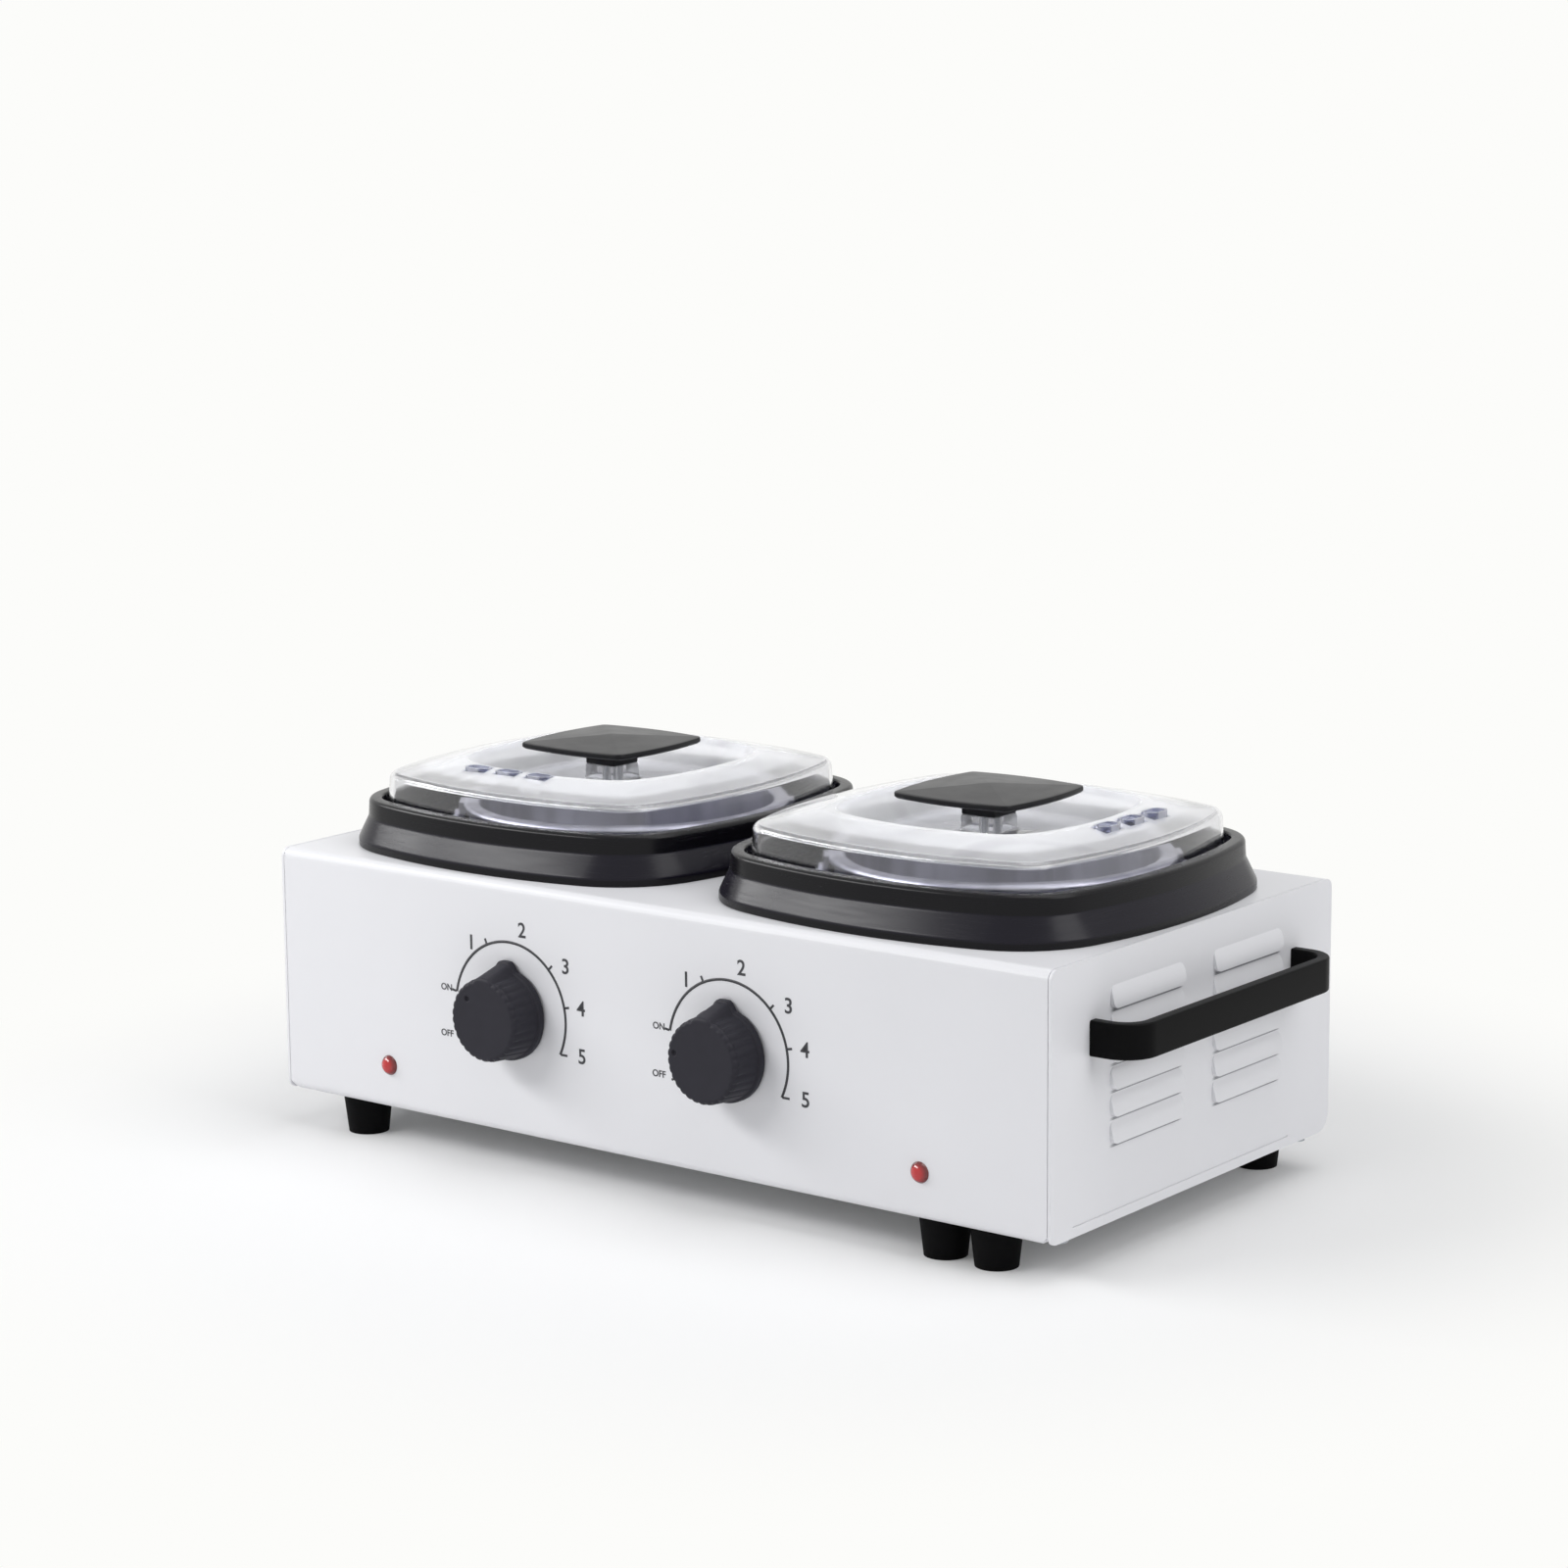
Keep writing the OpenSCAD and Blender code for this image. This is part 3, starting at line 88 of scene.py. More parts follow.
def add(tree, kind, settings=None, inputs=None):
    """Adds a node, sets its properties, and fills or links its inputs to sockets or nodes."""
    node = tree.nodes.new(kind)
    for name, value in (settings or {}).items():
        setattr(node, name, value)
    for socket, value in (inputs or {}).items():
        if isinstance(value, bpy.types.Node):
            value = value.outputs[0]
        if isinstance(value, bpy.types.NodeSocket):
            tree.links.new(value, node.inputs[socket])
        else:
            node.inputs[socket].default_value = value
    return node


print("middle grey #808080 is", round(linear("#808080")[0], 3), "in linear light")

# %% [markdown]
# No real surface has one flat colour. Most finishes here let the colour wander a little between
# two values, and many have a fine relief. The sizes of both are given in millimetres.

# %% Start a material and give it patterns
def start_material(name, colour, **constants):
    """A material with a Principled shader; returns it with its tree, shader and coordinates."""
    material = bpy.data.materials.new(name)
    material.use_nodes = True
    tree = material.node_tree
    shader = tree.nodes["Principled BSDF"]
    shader.inputs["Base Color"].default_value = linear(colour)
    for socket, value in constants.items():
        shader.inputs[socket.replace("_", " ")].default_value = value
    coords = tree.nodes.new("ShaderNodeTexCoord").outputs["Object"]
    return material, tree, shader, coords


def mottle(tree, shader, coords, colour, darker, size_mm, detail=3.0):
    """Lets the colour wander a little between two values over patches of that size."""
    noise = add(tree, "ShaderNodeTexNoise", None,
                {"Vector": coords, "Scale": 1000 / size_mm, "Detail": detail})
    mix = add(tree, "ShaderNodeMix", COLOURS, {0: noise, 6: linear(colour), 7: linear(darker)})
    tree.links.new(mix.outputs[2], shader.inputs["Base Color"])
    return noise


def grain(tree, shader, coords, size_mm, depth_mm, strength=0.5, detail=2.0):
    """Fine surface relief with grains of that size and depth; returns their pattern."""
    noise = add(tree, "ShaderNodeTexNoise", None,
                {"Vector": coords, "Scale": 1000 / size_mm, "Detail": detail})
    bump = add(tree, "ShaderNodeBump", None,
               {"Strength": strength, "Distance": depth_mm * MM, "Height": noise})
    tree.links.new(bump.outputs["Normal"], shader.inputs["Normal"])
    return noise


def rough_between(tree, shader, source, low, high):
    """Roughness that follows a pattern between two values."""
    ramp = add(tree, "ShaderNodeMapRange", None, {"Value": source, "To Min": low, "To Max": high})
    tree.links.new(ramp.outputs["Result"], shader.inputs["Roughness"])


print("material helpers ready")

# %% [markdown]
# The housing is mild steel with a white polyester powder coat. The powder melts into a skin with
# a faint orange peel about two millimetres across, which breaks up the gloss but is hardly seen
# as relief.

# %% Powder-coated steel
def powder_coated(name):
    """White powder coat with a faint orange peel."""
    material, tree, shader, coords = start_material(name, "#ececef", Roughness=0.36, IOR=1.5)
    mottle(tree, shader, coords, "#eeeef1", "#e9e9ec", 60)
    grain(tree, shader, coords, 2.2, 0.02, 0.35)
    return material, tree, shader, coords


powder_coat = powder_coated("powder_coated_steel")[0]
print("made", powder_coat.name)

# %% [markdown]
# Each louvre is sheared along its lower edge. Just under each hood the side panels get a thin
# painted shadow line, for the shade that the hood casts. The rows are folded onto one another:
# what is left of the height after whole steps is the distance from the nearest open edge. Both
# panels and both columns share one rule, because only the distance from the middle counts.

# %% Masks
def box_mask(tree, coords, centre, half_x, half_y):
    """1 inside an upright box about centre, falling to 0 over a soft edge."""
    off = add(tree, "ShaderNodeVectorMath", {"operation": "SUBTRACT"}, {0: coords, 1: centre})
    off = add(tree, "ShaderNodeVectorMath", {"operation": "ABSOLUTE"}, {0: off})
    off = add(tree, "ShaderNodeVectorMath", {"operation": "DIVIDE"}, {0: off, 1: (half_x, half_y, 1)})
    parts = add(tree, "ShaderNodeSeparateXYZ", None, {0: off}).outputs
    reach = add(tree, "ShaderNodeMath", {"operation": "MAXIMUM"}, {0: parts["X"], 1: parts["Y"]})
    return add(tree, "ShaderNodeMapRange", SMOOTH, {"Value": reach, "From Min": 1.08, "From Max": 0.92})


def centre_of(node):
    """Middle of a node's box."""
    low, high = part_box(node)
    return (Vector(low) + Vector(high)) / 2


print("housing centred on", [round(c / MM, 1) for c in centre_of("housing_shell").xy], "mm")

# %% Side panels with painted shadow lines
LOUVRE_LOW, LOUVRE_STEP, LOUVRE_ROWS = 40.5, 9.1, 6
LOUVRE_COLUMN, LOUVRE_OUT, HOOD_ROOT = 31.5, 1.6, 0.25
LOUVRE_SHADOW_DROP, LOUVRE_SHADOW_HALF_L, LOUVRE_SHADOW_HALF_H = 0.8, 21.0, 0.45
louvred_coat, tree, shader, coords = powder_coated("louvred_powder_coated_steel")
coat_colour = shader.inputs["Base Color"].links[0].from_socket
parts = add(tree, "ShaderNodeSeparateXYZ", None, {0: coords}).outputs

height = add(tree, "ShaderNodeMath", {"operation": "SUBTRACT"}, {0: parts["Z"], 1: LOUVRE_LOW * MM})
row = add(tree, "ShaderNodeMath", {"operation": "DIVIDE"}, {0: height, 1: LOUVRE_STEP * MM})
nearest = add(tree, "ShaderNodeMath", {"operation": "ROUND"}, {0: row})
left_over = add(tree, "ShaderNodeMath", {"operation": "SUBTRACT"}, {0: row, 1: nearest})
over_edge = add(tree, "ShaderNodeMath", {"operation": "MULTIPLY"}, {0: left_over, 1: LOUVRE_STEP * MM})
panel_middle = centre_of("housing_shell").y
along = add(tree, "ShaderNodeMath", {"operation": "SUBTRACT"}, {0: parts["Y"], 1: panel_middle})
from_middle = add(tree, "ShaderNodeMath", {"operation": "ABSOLUTE"}, {0: along})
folded = add(tree, "ShaderNodeCombineXYZ", None, {"X": from_middle, "Y": over_edge})
# Painted shadow: a thin grey band on the panel just under each hood's lower edge.
louvre_shadow_centre = (LOUVRE_COLUMN * MM, -LOUVRE_SHADOW_DROP * MM, 0)
louvre_shadow = box_mask(tree, folded, louvre_shadow_centre, LOUVRE_SHADOW_HALF_L * MM, LOUVRE_SHADOW_HALF_H * MM)

rows_up = add(tree, "ShaderNodeMath", {"operation": "SUBTRACT"}, {0: row, 1: (LOUVRE_ROWS - 1) / 2})
rows_off = add(tree, "ShaderNodeMath", {"operation": "ABSOLUTE"}, {0: rows_up})
in_rows = add(tree, "ShaderNodeMath", {"operation": "LESS_THAN"}, {0: rows_off, 1: LOUVRE_ROWS / 2})
panel_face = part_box("side_panel_right")[1].x - (LOUVRE_OUT - HOOD_ROOT) * MM
outward = add(tree, "ShaderNodeMath", {"operation": "ABSOLUTE"}, {0: parts["X"]})
on_panel = add(tree, "ShaderNodeMath", {"operation": "LESS_THAN"}, {0: outward, 1: panel_face})
allowed = add(tree, "ShaderNodeMath", {"operation": "MULTIPLY"}, {0: in_rows, 1: on_panel})
dark = add(tree, "ShaderNodeMath", {"operation": "MULTIPLY"}, {0: louvre_shadow, 1: allowed})
# The painted shadow colour is mixed into the coat there.
shade = add(tree, "ShaderNodeMix", COLOURS, {0: dark, 6: coat_colour, 7: linear("#98989d")})
tree.links.new(shade.outputs[2], shader.inputs["Base Color"])
print("made", louvred_coat.name)

# %% [markdown]
# The black plastics are injection-moulded ABS. What sets them apart is the face of the tool. The
# lid handles come from a polished one, and the flow of the plastic leaves faint level streaks in
# their gloss. The collars are glossy too, with brushed streaks and a painted sheen on the flare.

# %% Polished and banded plastics
def level_streaks(tree, coords, size_mm, detail):
    """A pattern of level streaks of that length, fourteen times as fine in height."""
    squeezed = add(tree, "ShaderNodeMapping", None, {"Vector": coords, "Scale": (1.0, 1.0, 14.0)})
    return add(tree, "ShaderNodeTexNoise", None,
               {"Vector": squeezed, "Scale": 1000 / size_mm, "Detail": detail})


# Polished ABS: deep black, with soft bands of light along every edge.
glossy_abs, tree, shader, coords = start_material(
    "polished_black_abs", "#121216", Roughness=0.3, IOR=1.54, Specular_IOR_Level=0.15)
mottle(tree, shader, coords, "#131317", "#0f0f13", 25)
rough_between(tree, shader, level_streaks(tree, coords, 11.11, 4.0), 0.24, 0.38)

# Banded ABS: the flare between the foot and the lip is brushed, and painted lighter as a sheen.
BAND_FROM, BAND_TO = (2.0, 2.8), (10.6, 11.1)
collar_abs, tree, shader, coords = start_material(
    "banded_black_abs", "#121216", Roughness=0.26, IOR=1.54, Specular_IOR_Level=0.18)
collar_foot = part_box("collar_left")[0].z
height = add(tree, "ShaderNodeSeparateXYZ", None, {0: coords}).outputs["Z"]
band_low, band_high = [[collar_foot + z * MM for z in ends] for ends in (BAND_FROM, BAND_TO)]
over_foot = add(tree, "ShaderNodeMapRange", SMOOTH,
                {"Value": height, "From Min": band_low[0], "From Max": band_low[1]})
under_lip = add(tree, "ShaderNodeMapRange", SMOOTH,
                {"Value": height, "From Min": band_high[1], "From Max": band_high[0]})
painted_sheen_band = add(tree, "ShaderNodeMath", {"operation": "MULTIPLY"}, {0: over_foot, 1: under_lip})
# Painted sheen: the flare's colour is lighter than the foot and the lip.
shade = add(tree, "ShaderNodeMix", COLOURS, {0: painted_sheen_band, 6: linear("#08070c"), 7: linear("#15131d")})
tree.links.new(shade.outputs[2], shader.inputs["Base Color"])
rough_between(tree, shader, level_streaks(tree, coords, 16.67, 5.0), 0.18, 0.34)
print("made", glossy_abs.name, "and", collar_abs.name)

# %% [markdown]
# The knobs and the carry handles are not polished. A spark-eroded tool leaves a fine even texture
# of about half a millimetre, which spreads the light and turns the black duller.

# %% Satin and textured plastics
# Satin ABS: nearly dead black, with very little sheen.
handle_abs, tree, shader, coords = start_material(
    "satin_black_abs", "#0a0a0b", Roughness=0.42, IOR=1.54, Specular_IOR_Level=0.05)
mottle(tree, shader, coords, "#0d0d0e", "#0a0a0b", 12)
grain(tree, shader, coords, 0.5, 0.012, 0.4)

# Spark-eroded ABS: a charcoal that stays even from every side.
knob_abs, tree, shader, coords = start_material(
    "spark_eroded_abs", "#26252c", Roughness=0.5, IOR=1.54, Specular_IOR_Level=0.16)
mottle(tree, shader, coords, "#2d2c34", "#28272e", 4)
grain(tree, shader, coords, 0.45, 0.03, 0.5)
print("made", handle_abs.name, "and", knob_abs.name)

# %% [markdown]
# The lids are clear polycarbonate, polished like glass on the skirt. The top has a fine moulded
# grain that hides scratches and makes it milky. Masks lower the transmission above the shoulder
# and in the dish, and leave the boss and the steam vents clear. Shadow rays pass almost freely:
# a renderer finds no lamp through bent rays, and the pots would stand in the dark.

# %% Where the lids are grained and where they are clear
VENT_L, VENT_W, VENT_PITCH, VENT_EDGE = 9.0, 5.0, 14.6, 0.8
VENT_PLACE = {"left": (-7.0, -49.5), "right": (53.5, 7.0)}
DISH_HALF, BOSS_HALF = 50.0, 12.0
SHOULDER_FROM, SHOULDER_TO = 22.8, 23.7


def lid_masks(tree, coords):
    """Masks of the grained faces, the bosses and the vents of both lids."""
    edge_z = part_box("lid_right")[0].z
    height = add(tree, "ShaderNodeSeparateXYZ", None, {0: coords}).outputs["Z"]
    grained = add(tree, "ShaderNodeMapRange", SMOOTH, {
        "Value": height, "From Min": edge_z + SHOULDER_FROM * MM, "From Max": edge_z + SHOULDER_TO * MM})
    boss, vents = 0.0, 0.0
    long_half, short_half = (VENT_L / 2 + VENT_EDGE) * MM, (VENT_W / 2 + VENT_EDGE) * MM
    for side in ("left", "right"):
        middle = centre_of("lid_" + side)
        dish = box_mask(tree, coords, middle, DISH_HALF * MM, DISH_HALF * MM)
        grained = add(tree, "ShaderNodeMath", {"operation": "MAXIMUM"}, {0: grained, 1: dish})
        square = box_mask(tree, coords, middle, BOSS_HALF * MM, BOSS_HALF * MM)
        boss = add(tree, "ShaderNodeMath", {"operation": "MAXIMUM"}, {0: boss, 1: square})
        half_x, half_y = (short_half, long_half) if side == "right" else (long_half, short_half)
        for step in (-VENT_PITCH, 0, VENT_PITCH):
            x, y = VENT_PLACE[side]
            spot = middle + Vector((x, y + step, 0) if side == "right" else (x + step, y, 0)) * MM
            slot = box_mask(tree, coords, spot, half_x, half_y)
            vents = add(tree, "ShaderNodeMath", {"operation": "MAXIMUM"}, {0: vents, 1: slot})
    return grained, boss, vents


print("vents", VENT_L, "x", VENT_W, "mm, one every", VENT_PITCH, "mm")

# %% Clear polycarbonate
clear_pc, tree, shader, coords = start_material(
    "clear_polycarbonate", "#f4f4f6", Roughness=0.05, IOR=1.55, Specular_IOR_Level=0.35,
    Transmission_Weight=1.0)
grained, boss, vents = lid_masks(tree, coords)
clouds = add(tree, "ShaderNodeTexNoise", None,
             {"Vector": coords, "Scale": 1000 / 45.5, "Detail": 1.0, "Distortion": 1.5})
cloudy = add(tree, "ShaderNodeMath", {"operation": "ADD"}, {0: clouds, 1: 0.45})
milky = add(tree, "ShaderNodeMath", {"operation": "MULTIPLY"}, {0: grained, 1: cloudy})
thinned = add(tree, "ShaderNodeMath", {"operation": "MULTIPLY_ADD"}, {0: boss, 1: -0.6, 2: 1.0})
milky = add(tree, "ShaderNodeMath", {"operation": "MULTIPLY"}, {0: milky, 1: thinned})
closed = add(tree, "ShaderNodeMath", {"operation": "SUBTRACT"}, {0: 1.0, 1: vents})
milky = add(tree, "ShaderNodeMath", {"operation": "MULTIPLY"}, {0: milky, 1: closed})
haze = add(tree, "ShaderNodeMapRange", None, {"Value": milky, "To Min": 1.0, "To Max": 0.55})
tree.links.new(haze.outputs["Result"], shader.inputs["Transmission Weight"])
# Painted shade: round the vents the lid is tinted a dark blue-grey, for the dark seen through them.
vent_shade = add(tree, "ShaderNodeMix", COLOURS, {0: vents, 6: linear("#f4f4f6"), 7: linear("#8d91ab")})
tree.links.new(vent_shade.outputs[2], shader.inputs["Base Color"])
rough_between(tree, shader, grain(tree, shader, coords, 14.3, 0.2, 0.3), 0.03, 0.1)

rays = add(tree, "ShaderNodeLightPath").outputs
passing = add(tree, "ShaderNodeBsdfTransparent", None, {"Color": linear("#eceff3")})
lit = add(tree, "ShaderNodeMixShader", None, {0: rays["Is Shadow Ray"], 1: shader, 2: passing})
tree.links.new(lit.outputs["Shader"], tree.nodes["Material Output"].inputs["Surface"])
print("made", clear_pc.name)

# %% [markdown]
# An indicator lamp is a domed lens of red acrylic with a small bulb behind it. Its colour is
# painted lighter in the middle and darker towards the rim, a painted shade where the dome turns away.

# %% Red acrylic lens
LENS_BRIGHT, LENS_DARK = 1.6, 3.6
lens_red, tree, shader, coords = start_material(
    "red_acrylic_lens", "#b0161a", Roughness=0.14, IOR=1.49, Coat_Weight=0.5)
lamp_middle = centre_of("lamp_lens_right")
parts = add(tree, "ShaderNodeSeparateXYZ", None, {0: coords}).outputs
outward = add(tree, "ShaderNodeMath", {"operation": "ABSOLUTE"}, {0: parts["X"]})
mirrored = add(tree, "ShaderNodeCombineXYZ", None, {"X": outward, "Y": lamp_middle.y, "Z": parts["Z"]})
spread = add(tree, "ShaderNodeVectorMath", {"operation": "DISTANCE"}, {0: mirrored, 1: lamp_middle})
# Painted shade: the red darkens from the middle of the lens towards its rim.
rim_shade = add(tree, "ShaderNodeMapRange", SMOOTH, {
    "Value": spread.outputs["Value"], "From Min": LENS_BRIGHT * MM, "From Max": LENS_DARK * MM})
shade = add(tree, "ShaderNodeMix", COLOURS, {0: rim_shade, 6: linear("#c01c20"), 7: linear("#6a0d12")})
tree.links.new(shade.outputs[2], shader.inputs["Base Color"])
print("made", lens_red.name)

# %% [markdown]
# Pots and wells are aluminium. A spun pot keeps the fine rings of the roller, so its roughness
# and relief follow the distance from its own axis. A fan of lighter streaks follows the direction
# from that axis: painted highlights that stand in for the lamps' reflections drawn out by the rings.

# %% Aluminium
def spun_metal(name, colour, dark, centre, rough):
    """Aluminium with lathe rings about an upright axis through centre, and a fan of painted highlight
    streaks.
    """
    material, tree, shader, coords = start_material(name, colour, Metallic=1.0, Roughness=rough)
    centred = add(tree, "ShaderNodeMapping", None,
                  {"Vector": coords, "Location": (-centre.x, -centre.y, 0)})
    parts = add(tree, "ShaderNodeSeparateXYZ", None, {0: centred}).outputs
    flat = add(tree, "ShaderNodeCombineXYZ", None, {"X": parts["X"], "Y": parts["Y"]})
    radius = add(tree, "ShaderNodeVectorMath", {"operation": "LENGTH"}, {0: flat}).outputs["Value"]
    along = add(tree, "ShaderNodeCombineXYZ", None, {"X": radius, "Z": parts["Z"]})
    rings = grain(tree, shader, along, 0.714, 0.02, 0.25, 3.0)
    rough_between(tree, shader, rings, rough - 0.07, rough + 0.09)
    direction = add(tree, "ShaderNodeVectorMath", {"operation": "NORMALIZE"}, {0: flat})
    # Painted highlights: lighter streaks that fan out round the axis, for the lamps' reflections.
    highlight_fan = add(tree, "ShaderNodeTexNoise", None,
              {"Vector": direction, "Scale": 3.5, "Detail": 2.0, "Roughness": 0.6})
    light = add(tree, "ShaderNodeMapRange", SMOOTH, {"Value": highlight_fan, "From Min": 0.38, "From Max": 0.66})
    shade = add(tree, "ShaderNodeMix", COLOURS, {0: light, 6: linear(dark), 7: linear(colour)})
    tree.links.new(shade.outputs[2], shader.inputs["Base Color"])
    return material


pot_metal, well_metal = {}, {}
for side in ("left", "right"):
    axis = centre_of("heating_well_" + side)
    pot_metal[side] = spun_metal("spun_aluminium_" + side, "#cfced9", "#adacb8", axis, 0.36)
    well_metal[side] = spun_metal("drawn_aluminium_" + side, "#b4b8be", "#a4a8ae", axis, 0.38)
print("made aluminium for", len(pot_metal), "stations")

# %% [markdown]
# Screws, nuts and clips are zinc-plated steel, a bluish grey that looks a little blotchy close
# up. Sensing bulbs, terminal screws and the earth stud are turned from brass.

# %% Zinc and brass
zinc, tree, shader, coords = start_material("zinc_plated_steel", "#a9adb1", Metallic=1.0, Roughness=0.35)
noise = mottle(tree, shader, coords, "#b3b7bb", "#9a9ea3", 6)
rough_between(tree, shader, noise, 0.28, 0.45)
brass, tree, shader, coords = start_material("turned_brass", "#c6a25a", Metallic=1.0, Roughness=0.3)
mottle(tree, shader, coords, "#caa75f", "#b18f4a", 5)
print("made", zinc.name, "and", brass.name)

# %% [markdown]
# The rest is functional. Each of these finishes is a plain colour with patches of its own size,
# and only the rubber and the glass wool have a relief that the eye could find.

# %% Rubber and inner materials
# Moulded rubber: black and matt, so that the feet almost vanish under the warmer.
rubber, tree, shader, coords = start_material(
    "moulded_rubber", "#0b0b0c", Roughness=0.7, IOR=1.52, Specular_IOR_Level=0.06)
mottle(tree, shader, coords, "#0c0c0d", "#09090a", 5)
grain(tree, shader, coords, 0.6, 0.03, 0.5)

# Mica: pressed flakes give the heater bands a brownish, leafy look.
mica, tree, shader, coords = start_material("mica_band", "#8c8778", Roughness=0.6)
mottle(tree, shader, coords, "#958f80", "#766f60", 9)

# Glass wool: a cream felt with no gloss at all.
wool, tree, shader, coords = start_material("glass_wool", "#d8d1bd", Roughness=0.95)
mottle(tree, shader, coords, "#ddd6c3", "#bfb69d", 3, 6.0)
grain(tree, shader, coords, 1.5, 0.6, 0.8, 6.0)

# Phenolic: the dark brown of old switchgear, filled with wood flour.
phenolic, tree, shader, coords = start_material("phenolic_moulding", "#4a3428", Roughness=0.4)
mottle(tree, shader, coords, "#4d362a", "#3c291f", 4)

# Polyamide: left in its natural cream colour, slightly waxy.
polyamide, tree, shader, coords = start_material("natural_polyamide", "#d9d6cc", Roughness=0.45)
mottle(tree, shader, coords, "#dcd9d0", "#cfcbbe", 8)

# Screen ink: dark grey and matt, a little uneven where the screen lay.
ink, tree, shader, coords = start_material("screen_ink", "#3b3b40", Roughness=0.5)
mottle(tree, shader, coords, "#3d3d42", "#343438", 6)
print("made inner materials and", ink.name)

# %% [markdown]
# The CAD pieces keep their meshes and places, and get one finish each. What has no line of its
# own below is plated steel: the bottom plate, the screws, nuts, rivets and clips, and the shafts
# of the thermostats.

# %% Give the CAD nodes their finishes
finishes = {
    powder_coat: ["housing_shell", "back_panel"],
    louvred_coat: ["side_panel_left", "side_panel_right"],
    handle_abs: ["carry_handle_left", "carry_handle_right", "lamp_body_left", "lamp_body_right",
                 "cord_gland", "cord_gland_nut"],
    glossy_abs: ["lid_handle_left", "lid_handle_right"],
    collar_abs: ["collar_left", "collar_right"],
    knob_abs: ["knob_left", "knob_right"],
    clear_pc: ["lid_left", "lid_right"],
    lens_red: ["lamp_lens_left", "lamp_lens_right"],
    rubber: ["foot_front_left", "foot_front_right", "foot_rear_left", "foot_rear_right", "foot_fifth"],
    pot_metal["left"]: ["pot_left", "bail_left"],
    pot_metal["right"]: ["pot_right", "bail_right"],
    well_metal["left"]: ["heating_well_left"],
    well_metal["right"]: ["heating_well_right"],
    mica: ["band_heater_left", "band_heater_right"],
    wool: ["insulation_left", "insulation_right"],
    phenolic: ["thermostat_left", "thermostat_right"],
    polyamide: ["terminal_block"],
    brass: ["sensing_bulb_left", "sensing_bulb_right", "terminal_screws", "earth_stud"],
}
finish_of = {node: material for material, names in finishes.items() for node in names}
for name, node in nodes.items():
    node.data.materials.clear()
    node.data.materials.append(finish_of.get(name, zinc))
print("painted", len(finish_of), "nodes by name and", len(nodes) - len(finish_of), "in zinc")

# %% [markdown]
# Collars, lids and lid handles share one outline: a square whose sides bow outwards and whose
# corners are round. Written as a rule with three sizes, it can be worked out at any height, so
# each of these mouldings becomes a stack of rings of points with a skin stretched over them.
# That keeps every curve as smooth as the tool that made the real part.

# %% Outline and rings
def bowed_square(half, side_r, corner_r, side_n=20, corner_n=16):
    """Points of a square with bowed sides and round corners; sizes in millimetres."""
    a = half - side_r
    m = side_r - corner_r
    k = (a + math.sqrt(2 * m * m - a * a)) / 2
    turn = math.atan2(k, k - a)
    points = []
    for quarter in range(4):
        c, s = round(math.cos(quarter * math.pi / 2)), round(math.sin(quarter * math.pi / 2))
        for i in range(side_n + corner_n):
            if i < side_n:
                f = -turn + 2 * turn * i / side_n
                x, y = a + side_r * math.cos(f), side_r * math.sin(f)
            else:
                f = turn + (math.pi / 2 - 2 * turn) * (i - side_n) / corner_n
                x, y = k + corner_r * math.cos(f), k + corner_r * math.sin(f)
            points.append((x * c - y * s, x * s + y * c))
    return points


def round_ring(radius, like, centre=(0.0, 0.0)):
    """A circle with one point in the direction of each point of another outline."""
    turns = [math.atan2(y - centre[1], x - centre[0]) for x, y in like]
    return [(centre[0] + radius * math.cos(t), centre[1] + radius * math.sin(t)) for t in turns]


def rounded(path, steps=7):
    """The line through corners (u, v, radius), with an arc of that radius at each corner."""
    line = [path[0][:2]]
    for before, corner, after in zip(path, path[1:], path[2:]):
        here = Vector(corner[:2])
        back, on = (Vector(before[:2]) - here).normalized(), (Vector(after[:2]) - here).normalized()
        if corner[2] == 0:
            line.append(corner[:2])
            continue
        half = back.angle(on) / 2
        centre = here + (back + on).normalized() * corner[2] / math.sin(half)
        start, end = here + back * corner[2] / math.tan(half), here + on * corner[2] / math.tan(half)
        sweep = (start - centre).angle(end - centre)
        for i in range(steps + 1):
            s = i / steps
            mix = (math.sin((1 - s) * sweep) * (start - centre) + math.sin(s * sweep) * (end - centre))
            line.append(tuple(centre + mix / math.sin(sweep)))
    return line + [path[-1][:2]]


print("outline of", len(bowed_square(50, 120, 20)), "points")

# %% [markdown]
# A skin joins each ring to the next with four-sided faces. A moulding with a hole closes on its
# first ring again, and a solid one ends in a cap. The normals are worked out once, on the closed
# shell, and edges stay crisp only where the surface turns sharply.

# %% Skin over rings
def soften(mesh, sharp=32):
    """Smooth shading, except over edges that turn more than sharp degrees."""
    mesh.polygons.foreach_set("use_smooth", [True] * len(mesh.polygons))
    mesh.set_sharp_from_angle(angle=math.radians(sharp))


def skin(name, rings, centre, loop=True, sharp=32):
    """A closed mesh over rings of points (x, y, z) in millimetres about centre, in metres."""
    bm = bmesh.new()
    rows = [[bm.verts.new(Vector(p) * MM + centre) for p in ring] for ring in rings]
    count = len(rows[0])
    for low, high in zip(rows, rows[1:] + (rows[:1] if loop else [])):
        for i in range(count):
            j = (i + 1) % count
            bm.faces.new((low[i], low[j], high[j], high[i]))
    if not loop:
        bm.faces.new(rows[0][::-1])
        bm.faces.new(rows[-1])
    bmesh.ops.recalc_face_normals(bm, faces=bm.faces)
    mesh = bpy.data.meshes.new(name)
    bm.to_mesh(mesh)
    bm.free()
    soften(mesh, sharp)
    return mesh


def fit_piece(name, mesh, material, body, slot, *stands_for):
    """Puts a finished mesh into the scene as a piece of the warmer."""
    mesh.materials.clear()
    mesh.materials.append(material)
    piece = bpy.data.objects.new(name, mesh)
    bpy.context.collection.objects.link(piece)
    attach(piece, body)
    if stands_for:
        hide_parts(*stands_for)
    return piece


